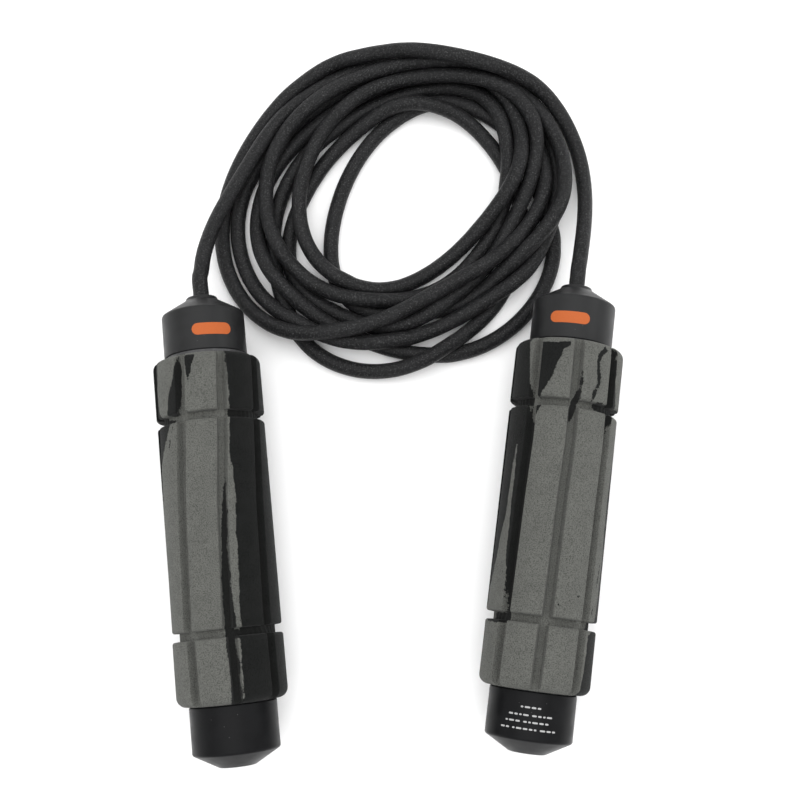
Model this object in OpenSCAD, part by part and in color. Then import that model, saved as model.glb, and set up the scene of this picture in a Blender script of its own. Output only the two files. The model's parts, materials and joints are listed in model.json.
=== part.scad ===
// Weighted jump rope: two foam-gripped handles that spin on ball bearings at the ends of one
// coiled cord. It lies on the surface z = 0 with both handles flat on it.
// Handle pieces are turned about local Z: the nose lip is at z = 0 and "back" is the distance
// behind it, so a piece that sits B behind the lip is drawn at z = -B.

/* [Lay] */
// Distance between the two nose centres, along X
nose_gap = 143.8; // [140:0.1:175]
// How far the right nose lies ahead of the left one, along Y
nose_step = 4; // [0:0.5:5]
// Lean of the left handle: its rear end points inwards
lean_left = 6; // [0:0.2:12]
// Lean of the right handle
lean_right = 7.4; // [0:0.2:12]

/* [Foam grip] */
// Diameter over the front and rear bands
grip_d = 40.4; // [37:0.2:50]
// Diameter over the long middle band
waist_d = 39.2; // [36:0.2:44]
// Length of the front band
front_band_len = 23.5; // [18:0.5:28]
// Length of the middle band
middle_band_len = 75; // [60:0.5:95]
// Length of the rear band
rear_band_len = 23; // [18:0.5:28]
// Width of each ring groove between the bands
ring_groove_w = 3; // [2:0.5:5]
// Depth of the ring and lengthwise grooves below the bands
groove_depth = 3; // [1:0.1:4]
// Width of each lengthwise groove
rib_groove_w = 3.6; // [2:0.2:6]
// Number of lengthwise grooves
rib_count = 8; // [6:1:10]
// Rounding of the outer band ends
band_edge_r = 2.5; // [1:0.1:3]
// Turn of the left grip about its axis
grip_turn_left = 14; // [0:1:44]
// Turn of the right grip about its axis
grip_turn_right = 8; // [0:1:44]

/* [Handle tube] */
// Outside diameter of the stiff inner tube
tube_d = 30; // [28:0.5:33]
// Wall of the tube
tube_wall = 2.5; // [1.5:0.1:3]

/* [Front cap] */
// Diameter of the cap
cap_d = 31; // [30:0.5:35]
// Length of the cap's straight side
cap_len = 16.5; // [14:0.5:22]
// Length of the cone ahead of the straight side
nose_len = 8.3; // [8:0.1:14]
// Diameter of the nose lip
nose_d = 11.4; // [11:0.2:16]
// Rounding of the nose lip
nose_lip_r = 1.2; // [0.4:0.1:1.2]
// Diameter of the hole that the cord leaves by
nose_bore_d = 9; // [8:0.2:10]
// Length of the spigot pressed into the tube
spigot_len = 12; // [8:0.5:18]

/* [Bearing] */
// Bore of the bearing
bearing_bore = 8; // [7.6:0.2:9]
// Outside diameter of the bearing
bearing_d = 22; // [18:0.1:22.4]
// Width of the bearing
bearing_w = 7; // [6:0.5:9]
// Ball diameter
ball_d = 3.9; // [3.4:0.1:4.2]
// Number of balls
ball_count = 7; // [6:1:8]
// How far the bearing's front face sits behind the nose lip
bearing_back = 10; // [9.6:0.1:12]
// Gap between a ball and its tracks
ball_gap = 0.07; // [0.03:0.01:0.1]
// Thickness of each race at its shoulder
race_wall = 1.8; // [1.4:0.1:2.2]
// Thickness of the side shields
shield_t = 0.4; // [0.3:0.1:0.6]
// Thickness of the retaining ring behind the bearing
clip_t = 1.1; // [0.8:0.1:1.5]
// Depth of the retaining ring's groove
clip_groove = 0.9; // [0.5:0.1:1.2]

/* [Cord fixing] */
// Diameter of the cord
cord_d = 6; // [5:0.1:7.4]
// Wall of the flanged sleeve between the cord and the bearing
sleeve_flange = 1.4; // [1:0.1:2]
// Thickness of the thrust washer
washer_t = 1.4; // [1:0.1:2]
// Diameter of the thrust washer
washer_d = 15.6; // [14:0.2:17]
// Diameter of the clamp collar on the cord's end
ferrule_d = 12; // [11:0.2:14]
// Length of the clamp collar
ferrule_len = 12; // [9:0.5:14]
// Diameter of the collar's clamp screw
clamp_screw_d = 4; // [3:0.5:5]

/* [Weight] */
// Length of the removable steel weight
weight_len = 94; // [70:1:96]
// Gap between the weight and the tube's bore
weight_gap = 0.4; // [0.3:0.1:1]
// Thickness of the foam disc on the weight's front
pad_t = 3; // [2:0.5:6]
// Diameter of the stud that the end cap turns on
stud_d = 6; // [5:0.5:8]
// Length of the stud
stud_len = 9; // [6:0.5:12]

/* [End cap] */
// Diameter of the end cap
end_cap_d = 31.5; // [30:0.5:35]
// Length of the end cap's straight side
end_cap_len = 16.7; // [12:0.1:22]
// Length of the bevel at the end
bevel_len = 5.2; // [3:0.1:8]
// Diameter of the flat end face
end_face_d = 13; // [10:0.5:20]
// Length of the screwed spigot inside the tube
screw_len = 13; // [9:0.5:16]
// Height of the screw ridges above the spigot
ridge_h = 0.2; // [0.1:0.05:0.25]
// Number of screw ridges
ridge_count = 4; // [2:1:5]
// Thickness of the sealing washer
seal_t = 1.2; // [0.8:0.1:1.6]

/* [Coil] */
// Height of the heap of turns
coil_h = 14; // [10:1:20]

/* [Hidden] */
$fn = 96;

// Clearances
cut = 1;            // overshoot of a cutting solid past the face it cuts
part_gap = 0.3;     // between faces of pieces that turn against each other
stud_gap = 0.05;    // running fit of the end cap on the weight's stud
nose_relief = 1.2;  // depth of the space ahead of the bearing

// Stations behind the nose lip
cap_back = nose_len + cap_len;                  // rear face of the front cap
band1_end = cap_back + front_band_len;
band2_start = band1_end + ring_groove_w;
band2_end = band2_start + middle_band_len;
band3_start = band2_end + ring_groove_w;
grip_back = band3_start + rear_band_len;        // rear face of the foam grip
end_cap_back = grip_back + part_gap;            // shoulder of the end cap
tube_back = end_cap_back - seal_t - part_gap;   // rear face of the tube
bevel_back = end_cap_back + end_cap_len;
handle_len = bevel_back + bevel_len;
bearing_mid = bearing_back + bearing_w / 2;
bearing_rear = bearing_back + bearing_w;
flange_rear = bearing_rear + sleeve_flange;
washer_rear = flange_rear + washer_t;
collar_rear = washer_rear + ferrule_len;
cord_end = collar_rear + 2;                     // the cord stands out a little behind the collar
spigot_front = end_cap_back - screw_len;
weight_rear = spigot_front - part_gap;
weight_front = weight_rear - weight_len;
stud_rear = weight_rear + stud_len;

// Radii
grip_r = grip_d / 2;
tube_r = tube_d / 2;
tube_bore_r = tube_r - tube_wall;
cap_r = cap_d / 2;
end_cap_r = end_cap_d / 2;
cord_r = cord_d / 2;
ball_r = ball_d / 2;
seat_r = bearing_d / 2;
inner_race_r = bearing_bore / 2 + race_wall;
outer_race_r = seat_r - race_wall;
pitch_r = (inner_race_r + outer_race_r) / 2;
shield_r = outer_race_r + shield_t;             // recess that holds a shield
weight_r = tube_bore_r - weight_gap;
cage_t = ball_r * 0.8;                          // radial thickness of the cage
cage_w = ball_d + 0.9;
spigot_r = tube_bore_r - part_gap - ridge_h;    // screwed spigot between its ridges

// Where the handles lie: the two of them are centred on the origin
left_reach = (grip_r - band_edge_r) * cos(lean_left) + band_edge_r
    - (cap_back + band_edge_r) * sin(lean_left);
right_reach = (grip_r - band_edge_r) * cos(lean_right) + band_edge_r
    - (cap_back + band_edge_r) * sin(lean_right);
nose_left_x = (left_reach - right_reach - nose_gap) / 2;
nose_right_x = nose_left_x + nose_gap;
nose_right_y = (nose_step + handle_len * cos(lean_left) + end_face_d / 2 * sin(lean_left)
    - nose_d / 2 * sin(lean_right)) / 2;
nose_left_y = nose_right_y - nose_step;

// Middle of the coil, placed from the noses
coil_aside = 8.6;
coil_ahead = 42.8;
coil_x = (nose_left_x + nose_right_x) / 2 + coil_aside;
coil_y = nose_left_y + coil_ahead;
// The coil's reach from its middle every 30 degrees from +X, anticlockwise
coil_outer = [62, 66, 69, 67, 68, 71, 77, 76, 74, 71, 66, 62];
coil_inner = [31, 34, 38, 37, 30, 26, 27, 35, 42, 31, 24, 23];
coil_step = 5;

// The cord's free stretches. Each goes from its nose to a place in the coil, given as an angle
// and a reach from the coil's middle. The points between are shares of that straight way: how far
// along it, how far aside to its right, and the height as a share of the handle axis's height.
entry_left = [161, 62.5];
entry_right = [64, 66.5];
route_left = [[0.24, -0.08, 0.97], [0.39, -0.1, 0.89], [0.54, -0.1, 0.77], [0.7, -0.08, 0.64],
    [0.85, -0.05, 0.52], [1, 0, 0.42]];
route_right = [[0.13, 0.07, 0.95], [0.25, 0.13, 0.8], [0.38, 0.18, 0.6], [0.51, 0.21, 0.43],
    [0.64, 0.21, 0.36], [0.76, 0.18, 0.36], [0.87, 0.12, 0.38], [0.94, 0.06, 0.4], [1, 0, 0.4]];
lead_straight = 8;
cord_sides = 12;

// Colours
cord_black = "#1a1a1b";
cap_black = "#2b2b2c";
foam_grey = "#666662";
steel = "silver";
dark_steel = "dimgray";

// ---------- helpers ----------

// A solid turned about Z from a list of [radius, distance behind the lip]
module turned(profile) {
    rotate_extrude() polygon([for (p = profile) [p[0], -p[1]]]);
}

// A plain ring between two stations behind the lip
module ring(r_in, r_out, front, rear) {
    translate([0, 0, -rear]) difference() {
        cylinder(r = r_out, h = rear - front);
        translate([0, 0, -cut]) cylinder(r = r_in, h = rear - front + 2 * cut);
    }
}

// A round bar between two stations behind the lip
module bar(r, front, rear) {
    translate([0, 0, -rear]) cylinder(r = r, h = rear - front);
}

// Lays what is turned about Z flat, nose towards +Y, on the left or right side
module on_left() {
    translate([nose_left_x, nose_left_y, grip_r])
        rotate([0, 0, lean_left]) rotate([-90, 0, 0]) children();
}
module on_right() {
    translate([nose_right_x, nose_right_y, grip_r])
        rotate([0, 0, -lean_right]) rotate([-90, 0, 0]) children();
}

// ---------- handle pieces ----------

// A rounded lip, a cone, a straight side and the spigot, hollow for the bearing and the cord
module front_cap() {
    lip_r = nose_d / 2;
    arc = [for (a = [0 : 15 : 60])
        [lip_r - nose_lip_r + nose_lip_r * sin(a), nose_lip_r - nose_lip_r * cos(a)]];
    pocket_r = outer_race_r - part_gap;
    color(cap_black) difference() {
        turned(concat([[nose_bore_d / 2, 0]], arc, [[cap_r, nose_len], [cap_r, cap_back],
            [tube_bore_r, cap_back], [tube_bore_r, cap_back + spigot_len],
            [nose_bore_d / 2, cap_back + spigot_len]]));
        bar(pocket_r, bearing_back - nose_relief, bearing_back + cut);
        bar(seat_r, bearing_back, cap_back + spigot_len + cut);
        bar(seat_r + clip_groove, bearing_rear, bearing_rear + clip_t);
    }
}

module handle_tube() {
    color(dark_steel) ring(tube_bore_r, tube_r, cap_back, tube_back);
}

// Three bands with two ring grooves between them, and lengthwise grooves all round
module foam_grip(turn) {
    floor_r = grip_r - groove_depth;
    waist_r = waist_d / 2;
    e = band_edge_r;
    front_arc = [for (a = [0 : 15 : 90]) [grip_r - e + e * sin(a), cap_back + e - e * cos(a)]];
    rear_arc = [for (a = [90 : -15 : 0]) [grip_r - e + e * sin(a), grip_back - e + e * cos(a)]];
    color(foam_grey) rotate([0, 0, turn]) difference() {
        turned(concat([[tube_r, cap_back]], front_arc, [[grip_r, band1_end], [floor_r, band1_end],
            [floor_r, band2_start], [waist_r, band2_start], [waist_r, band2_end],
            [floor_r, band2_end], [floor_r, band3_start], [grip_r, band3_start]],
            rear_arc, [[tube_r, grip_back]]));
        for (k = [0 : rib_count - 1])
            rotate([0, 0, k * 360 / rib_count])
                translate([-rib_groove_w / 2, -grip_r - cut, -grip_back - cut])
                    cube([rib_groove_w, groove_depth + cut, grip_back - cap_back + 2 * cut]);
    }
}

// ---------- bearing ----------

// The track that the balls run in
module ball_track() {
    translate([0, 0, -bearing_mid]) rotate_extrude()
        translate([pitch_r, 0]) circle(r = ball_r + ball_gap);
}

module bearing_outer_ring() {
    color(steel) difference() {
        ring(outer_race_r, seat_r, bearing_back, bearing_rear);
        ball_track();
        bar(shield_r, bearing_back - cut, bearing_back + 2 * shield_t);
        bar(shield_r, bearing_rear - 2 * shield_t, bearing_rear + cut);
    }
}

module bearing_inner_ring() {
    color(steel) difference() {
        ring(bearing_bore / 2, inner_race_r, bearing_back, bearing_rear);
        ball_track();
    }
}

module bearing_balls() {
    color(steel) for (k = [0 : ball_count - 1])
        rotate([0, 0, k * 360 / ball_count])
            translate([pitch_r, 0, -bearing_mid]) sphere(r = ball_r);
}

// Keeps the balls apart: a ring with a round pocket through its wall for each one
module bearing_cage() {
    in_r = pitch_r - cage_t / 2;
    out_r = pitch_r + cage_t / 2;
    color(dark_steel) difference() {
        ring(in_r, out_r, bearing_mid - cage_w / 2, bearing_mid + cage_w / 2);
        for (k = [0 : ball_count - 1])
            translate([0, 0, -bearing_mid]) rotate([0, 90, k * 360 / ball_count])
                cylinder(r = ball_r + ball_gap, h = out_r + cut);
    }
}

module bearing_shields() {
    color(steel) for (front = [bearing_back + shield_t, bearing_rear - 2 * shield_t])
        ring(inner_race_r + part_gap, shield_r, front, front + shield_t);
}

// Open ring with a gap and two ears with plier holes
module retaining_ring() {
    ring_w = 2;
    gap_w = 5;
    ear_r = 1.6;
    ear_hole_r = 0.6;
    out_r = seat_r + clip_groove;
    mid = bearing_rear + clip_t / 2;
    ear_x = gap_w / 2 + ear_r * 0.7;
    ear_y = out_r - ring_w - ear_r * 0.4;
    color(steel) difference() {
        union() {
            difference() {
                ring(out_r - ring_w, out_r, bearing_rear, bearing_rear + clip_t);
                translate([-gap_w / 2, 0, -mid - clip_t]) cube([gap_w, out_r + cut, 2 * clip_t]);
            }
            for (s = [-1, 1])
                translate([s * ear_x, ear_y, 0]) bar(ear_r, bearing_rear, bearing_rear + clip_t);
        }
        for (s = [-1, 1]) translate([s * ear_x, ear_y, 0])
            bar(ear_hole_r, bearing_rear - cut, bearing_rear + clip_t + cut);
    }
}

// ---------- cord fixing ----------

module cord_sleeve() {
    sleeve_r = bearing_bore / 2;
    flange_r = sleeve_r + race_wall * 0.8;
    sleeve_front = bearing_back - part_gap;
    color(steel) turned([[cord_r, sleeve_front], [sleeve_r, sleeve_front], [sleeve_r, bearing_rear],
        [flange_r, bearing_rear], [flange_r, flange_rear], [cord_r, flange_rear]]);
}

module thrust_washer() {
    color(steel) ring(cord_r, washer_d / 2, flange_rear, washer_rear);
}

// Places a radial feature at the middle of the clamp collar
module at_clamp() {
    translate([0, 0, -(washer_rear + collar_rear) / 2]) rotate([0, 90, 0]) children();
}

module cord_collar() {
    edge = 0.8;
    out_r = ferrule_d / 2;
    color(steel) difference() {
        turned([[cord_r, washer_rear], [out_r, washer_rear], [out_r, collar_rear - edge],
            [out_r - edge, collar_rear], [cord_r, collar_rear]]);
        at_clamp() cylinder(r = clamp_screw_d / 2, h = out_r + cut);
    }
}

module clamp_screw() {
    out_r = ferrule_d / 2;
    socket_depth = 1.2;
    key_r = clamp_screw_d * 0.3;
    color(dark_steel) at_clamp() difference() {
        translate([0, 0, cord_r]) cylinder(r = clamp_screw_d / 2, h = out_r - cord_r);
        translate([0, 0, out_r - socket_depth]) cylinder(r = key_r, h = socket_depth + cut, $fn = 6);
    }
}

// ---------- weight and end cap ----------

module weight_rod() {
    edge = 1;
    color(steel) turned([[0, weight_front], [weight_r - edge, weight_front], [weight_r, weight_front + edge],
        [weight_r, weight_rear - edge], [weight_r - edge, weight_rear], [stud_d / 2, weight_rear],
        [stud_d / 2, stud_rear], [0, stud_rear]]);
}

module weight_pad() {
    color(foam_grey) bar(weight_r, weight_front - pad_t, weight_front);
}

module end_cap() {
    ridge_w = 1;
    ridge_pitch = (screw_len - 2 * ridge_w) / (ridge_count + 1);
    color(cap_black) difference() {
        union() {
            turned([[0, spigot_front], [spigot_r, spigot_front], [spigot_r, end_cap_back],
                [end_cap_r, end_cap_back], [end_cap_r, bevel_back], [end_face_d / 2, handle_len],
                [0, handle_len]]);
            for (k = [1 : ridge_count])
                ring(spigot_r / 2, spigot_r + ridge_h, spigot_front + k * ridge_pitch,
                    spigot_front + k * ridge_pitch + ridge_w);
        }
        bar(stud_d / 2 + stud_gap, spigot_front - cut, stud_rear + part_gap);
    }
}

// Flat washer on the end cap's shoulder
module end_cap_seal() {
    color(dark_steel) ring(spigot_r, tube_r - part_gap, end_cap_back - seal_t, end_cap_back);
}

// ---------- cord ----------

// Reach of a closed outline at any angle, smooth through its values at even steps
function reach_at(reach, angle) =
    let (n = len(reach), u = angle * n / 360, i = floor(u), t = u - i,
        a = reach[(i - 1 + n) % n], b = reach[i % n], c = reach[(i + 1) % n], d = reach[(i + 2) % n])
    b + t * (c - a) / 2 + t * t * (a - 2.5 * b + 2 * c - d / 2) + t * t * t * ((d - a) / 2 + 1.5 * (b - c));

function outline(reach) = [for (angle = [0 : coil_step : 359])
    reach_at(reach, angle) * [cos(angle), sin(angle)]];

// The heap of turns as one solid, with the opening in its middle
module rope_coil() {
    color(cord_black) translate([coil_x, coil_y, 0]) linear_extrude(coil_h) difference() {
        polygon(outline(coil_outer));
        polygon(outline(coil_inner));
    }
}

function unit(v) = v / norm(v);
function heading(path, i) = unit(path[min(i + 1, len(path) - 1)] - path[max(i - 1, 0)]);

// One ring of the swept tube, square to the path
function tube_ring(path, i) =
    let (along = heading(path, i), side = unit(cross(along, [0, 0, 1])), up = cross(side, along))
    [for (k = [0 : cord_sides - 1]) let (a = k * 360 / cord_sides)
        path[i] + cord_r * (cos(a) * side + sin(a) * up)];

module swept_cord(path) {
    n = len(path);
    m = cord_sides;
    points = [for (i = [0 : n - 1]) each tube_ring(path, i)];
    sides = [for (i = [0 : n - 2], k = [0 : m - 1])
        [i * m + k, i * m + (k + 1) % m, (i + 1) * m + (k + 1) % m, (i + 1) * m + k]];
    ends = [[for (k = [m - 1 : -1 : 0]) k], [for (k = [0 : m - 1]) (n - 1) * m + k]];
    polyhedron(points = points, faces = concat(sides, ends));
}

// A point on a handle's axis, some distance behind its nose lip
function axis_point(x, y, lean, back) = [x + back * sin(lean), y - back * cos(lean), grip_r];

// Where a stretch enters the coil
function entry_point(entry) = [coil_x + entry[1] * cos(entry[0]), coil_y + entry[1] * sin(entry[0])];

// A route's points between a nose and the coil
function route_points(x, y, entry, route) =
    let (way = entry_point(entry) - [x, y], aside = [way.y, -way.x])
    [for (p = route) let (q = [x, y] + p[0] * way + p[1] * aside) [q.x, q.y, p[2] * grip_r]];

// From the clamp collar out of the nose and along the route into the coil
module lead(x, y, lean, entry, route) {
    stations = [cord_end, bearing_back, 0, -lead_straight];
    start = [for (back = stations) axis_point(x, y, lean, back)];
    color(cord_black) swept_cord(concat(start, route_points(x, y, entry, route)));
}
module rope_lead_left() { lead(nose_left_x, nose_left_y, lean_left, entry_left, route_left); }
module rope_lead_right() { lead(nose_right_x, nose_right_y, -lean_right, entry_right, route_right); }

rope_coil();
rope_lead_left();
rope_lead_right();
on_left() front_cap();  // front_cap_left
on_right() front_cap();  // front_cap_right
on_left() handle_tube();  // handle_tube_left
on_right() handle_tube();  // handle_tube_right
on_left() foam_grip(grip_turn_left);  // foam_grip_left
on_right() foam_grip(grip_turn_right);  // foam_grip_right
on_left() bearing_outer_ring();  // bearing_outer_ring_left
on_right() bearing_outer_ring();  // bearing_outer_ring_right
on_left() bearing_inner_ring();  // bearing_inner_ring_left
on_right() bearing_inner_ring();  // bearing_inner_ring_right
on_left() bearing_balls();  // bearing_balls_left
on_right() bearing_balls();  // bearing_balls_right
on_left() bearing_cage();  // bearing_cage_left
on_right() bearing_cage();  // bearing_cage_right
on_left() bearing_shields();  // bearing_shields_left
on_right() bearing_shields();  // bearing_shields_right
on_left() retaining_ring();  // retaining_ring_left
on_right() retaining_ring();  // retaining_ring_right
on_left() cord_sleeve();  // cord_sleeve_left
on_right() cord_sleeve();  // cord_sleeve_right
on_left() thrust_washer();  // thrust_washer_left
on_right() thrust_washer();  // thrust_washer_right
on_left() cord_collar();  // cord_collar_left
on_right() cord_collar();  // cord_collar_right
on_left() clamp_screw();  // clamp_screw_left
on_right() clamp_screw();  // clamp_screw_right
on_left() weight_rod();  // weight_rod_left
on_right() weight_rod();  // weight_rod_right
on_left() weight_pad();  // weight_pad_left
on_right() weight_pad();  // weight_pad_right
on_left() end_cap();  // end_cap_left
on_right() end_cap();  // end_cap_right
on_left() end_cap_seal();  // end_cap_seal_left
on_right() end_cap_seal();  // end_cap_seal_right
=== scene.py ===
"""A weighted jump rope: two foam-gripped handles and one black cord in a loose coil, on a pale floor.

Sizes are in millimetres unless a name says otherwise. Handle pieces are made about their own axis:
local +Z points out of the nose, "back" is the distance behind the nose lip, and an angle round the
handle is counted in degrees from straight up towards the right hand side.
"""

import json
import logging
import math
from dataclasses import dataclass
from enum import Enum
from typing import Iterable, Sequence

import bmesh
import bpy
import numpy as np
from mathutils import Matrix, Vector


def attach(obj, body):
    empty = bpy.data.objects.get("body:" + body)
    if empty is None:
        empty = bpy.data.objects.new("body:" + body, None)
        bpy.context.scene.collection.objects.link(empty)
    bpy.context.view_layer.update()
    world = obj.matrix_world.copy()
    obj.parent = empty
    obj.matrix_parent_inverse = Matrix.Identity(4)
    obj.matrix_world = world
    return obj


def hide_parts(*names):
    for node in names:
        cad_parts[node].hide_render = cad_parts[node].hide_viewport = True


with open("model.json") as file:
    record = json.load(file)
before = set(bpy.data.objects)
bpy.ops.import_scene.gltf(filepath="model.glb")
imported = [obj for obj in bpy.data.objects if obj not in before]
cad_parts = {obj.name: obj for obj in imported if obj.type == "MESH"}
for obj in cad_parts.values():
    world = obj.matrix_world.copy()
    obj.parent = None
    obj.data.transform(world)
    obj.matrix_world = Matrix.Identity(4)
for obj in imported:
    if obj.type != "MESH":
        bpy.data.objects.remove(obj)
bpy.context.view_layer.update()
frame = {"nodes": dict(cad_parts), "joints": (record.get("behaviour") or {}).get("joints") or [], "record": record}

LOG = logging.getLogger("jump_rope")
MM = 0.001
# Where the camera hangs. The plan of the cord's turns is true as seen from here.
EYE = (4.51, -39.055, 472.0)

Point2 = tuple[float, float]
Point3 = tuple[float, float, float]
Colour = tuple[float, float, float]


class Side(Enum):
    """Which of the two handles."""

    LEFT = "left"
    RIGHT = "right"


# ---------------------------------------------------------------- node helpers


class Nodes:
    """A thin hand on a node tree: makes nodes, sets their inputs and joins them."""

    def __init__(self, tree: bpy.types.NodeTree) -> None:
        """Works on the given tree."""
        self.tree = tree

    def set(self, socket: bpy.types.NodeSocket, value: object) -> None:
        """Joins the input socket to another socket, or gives it a plain value.

        Args:
            socket: the input socket.
            value: a socket or a plain value.
        """
        if isinstance(value, bpy.types.NodeSocket):
            self.tree.links.new(value, socket)
        else:
            socket.default_value = value

    def wire(self, node: bpy.types.Node, inputs: dict[str, bpy.types.NodeSocket]) -> None:
        """Joins several of a node's inputs, by name."""
        for key, value in inputs.items():
            self.tree.links.new(value, node.inputs[key])

    def add(self, kind: str, inputs: dict[str | int, object] | None = None,
            **props: object) -> bpy.types.Node:
        """Makes a node.

        Args:
            kind: the node's type name, without the leading "ShaderNode".
            inputs: values or sockets for the node's inputs, by name or number.
            props: the node's own settings.

        Returns:
            The new node.
        """
        node = self.tree.nodes.new("ShaderNode" + kind)
        for key, value in props.items():
            setattr(node, key, value)
        for key, value in (inputs or {}).items():
            self.set(node.inputs[key], value)
        return node

    def noise(self, place: object, scale: object, detail: float,
              roughness: float = 0.5) -> bpy.types.NodeSocket:
        """Makes cloudy noise.

        Args:
            place: the position socket.
            scale: cells in a metre.
            detail: how many finer layers.
            roughness: how strong the finer layers are.

        Returns:
            The noise, from 0 to 1.
        """
        return self.add("TexNoise", {"Vector": place, "Scale": scale, "Detail": detail,
                                     "Roughness": roughness}).outputs[0]

    def bump(self, shader: bpy.types.Node, strength: float, distance: float, height: object) -> None:
        """Gives the shader a relief.

        Args:
            shader: the shader node.
            strength: how much of the relief shows, from 0 to 1.
            distance: its depth in metres.
            height: the height socket.
        """
        relief = self.add("Bump", {"Strength": strength, "Distance": distance, "Height": height})
        self.wire(shader, {"Normal": relief.outputs[0]})

    def math(self, operation: str, a: object, b: object = 0.0,
             clamp: bool = False) -> bpy.types.NodeSocket:
        """Returns the result of one sum on two values or sockets."""
        return self.add("Math", {0: a, 1: b}, operation=operation, use_clamp=clamp).outputs[0]

    def mix(self, factor: object, a: object, b: object) -> bpy.types.NodeSocket:
        """Blends two colours.

        Args:
            factor: 0 for a, 1 for b.
            a: a colour or socket.
            b: a colour or socket.

        Returns:
            The blended colour.
        """
        node = self.add("Mix", data_type="RGBA")
        for socket, value in ((node.inputs[0], factor), (node.inputs[6], a), (node.inputs[7], b)):
            self.set(socket, rgba(value) if isinstance(value, tuple) else value)
        return node.outputs[2]

    def ramp(self, value: object, low: float, high: float, out_low: float = 0.0,
             out_high: float = 1.0) -> bpy.types.NodeSocket:
        """Carries a value smoothly from one range to another.

        Args:
            value: the value or socket.
            low: start of its range.
            high: end of its range.
            out_low: what it becomes at the start.
            out_high: what it becomes at the end.

        Returns:
            The carried value.
        """
        node = self.add("MapRange", {"Value": value, "From Min": low, "From Max": high,
                                     "To Min": out_low, "To Max": out_high},
                        interpolation_type="SMOOTHSTEP")
        return node.outputs["Result"]

    def group(self, tree: bpy.types.NodeTree, inputs: dict[str, object]) -> bpy.types.Node:
        """Places a node group.

        Args:
            tree: the group.
            inputs: values or sockets by name.

        Returns:
            The placed node.
        """
        node = self.add("Group", node_tree=tree)
        for key, value in inputs.items():
            self.set(node.inputs[key], value)
        return node

    def per_metre(self, millimetres: object) -> bpy.types.NodeSocket:
        """Returns the texture scale that makes one cell this wide."""
        return self.math("DIVIDE", 1.0 / MM, millimetres)


def rgba(colour: Sequence[float]) -> tuple[float, float, float, float]:
    """Returns a colour with full opacity."""
    return (colour[0], colour[1], colour[2], 1.0)


def new_group(name: str, inputs: dict[str, tuple[str, float]],
              outputs: Sequence[str]) -> tuple[Nodes, bpy.types.NodeOutputs, bpy.types.Node]:
    """Makes an empty shader node group.

    Args:
        name: the group's name.
        inputs: socket name to (kind, default); kind is "Float" or "Vector".
        outputs: the output sockets' names; each is a single value.

    Returns:
        A hand on the tree, the group's inputs as sockets to read, and its output node.
    """
    tree = bpy.data.node_groups.new(name, "ShaderNodeTree")
    for key, (kind, default) in inputs.items():
        socket = tree.interface.new_socket(key, in_out="INPUT", socket_type="NodeSocket" + kind)
        if kind == "Float":
            socket.default_value = default
    for key in outputs:
        tree.interface.new_socket(key, in_out="OUTPUT", socket_type="NodeSocketFloat")
    source = tree.nodes.new("NodeGroupInput")
    sink = tree.nodes.new("NodeGroupOutput")
    return Nodes(tree), source.outputs, sink


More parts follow.
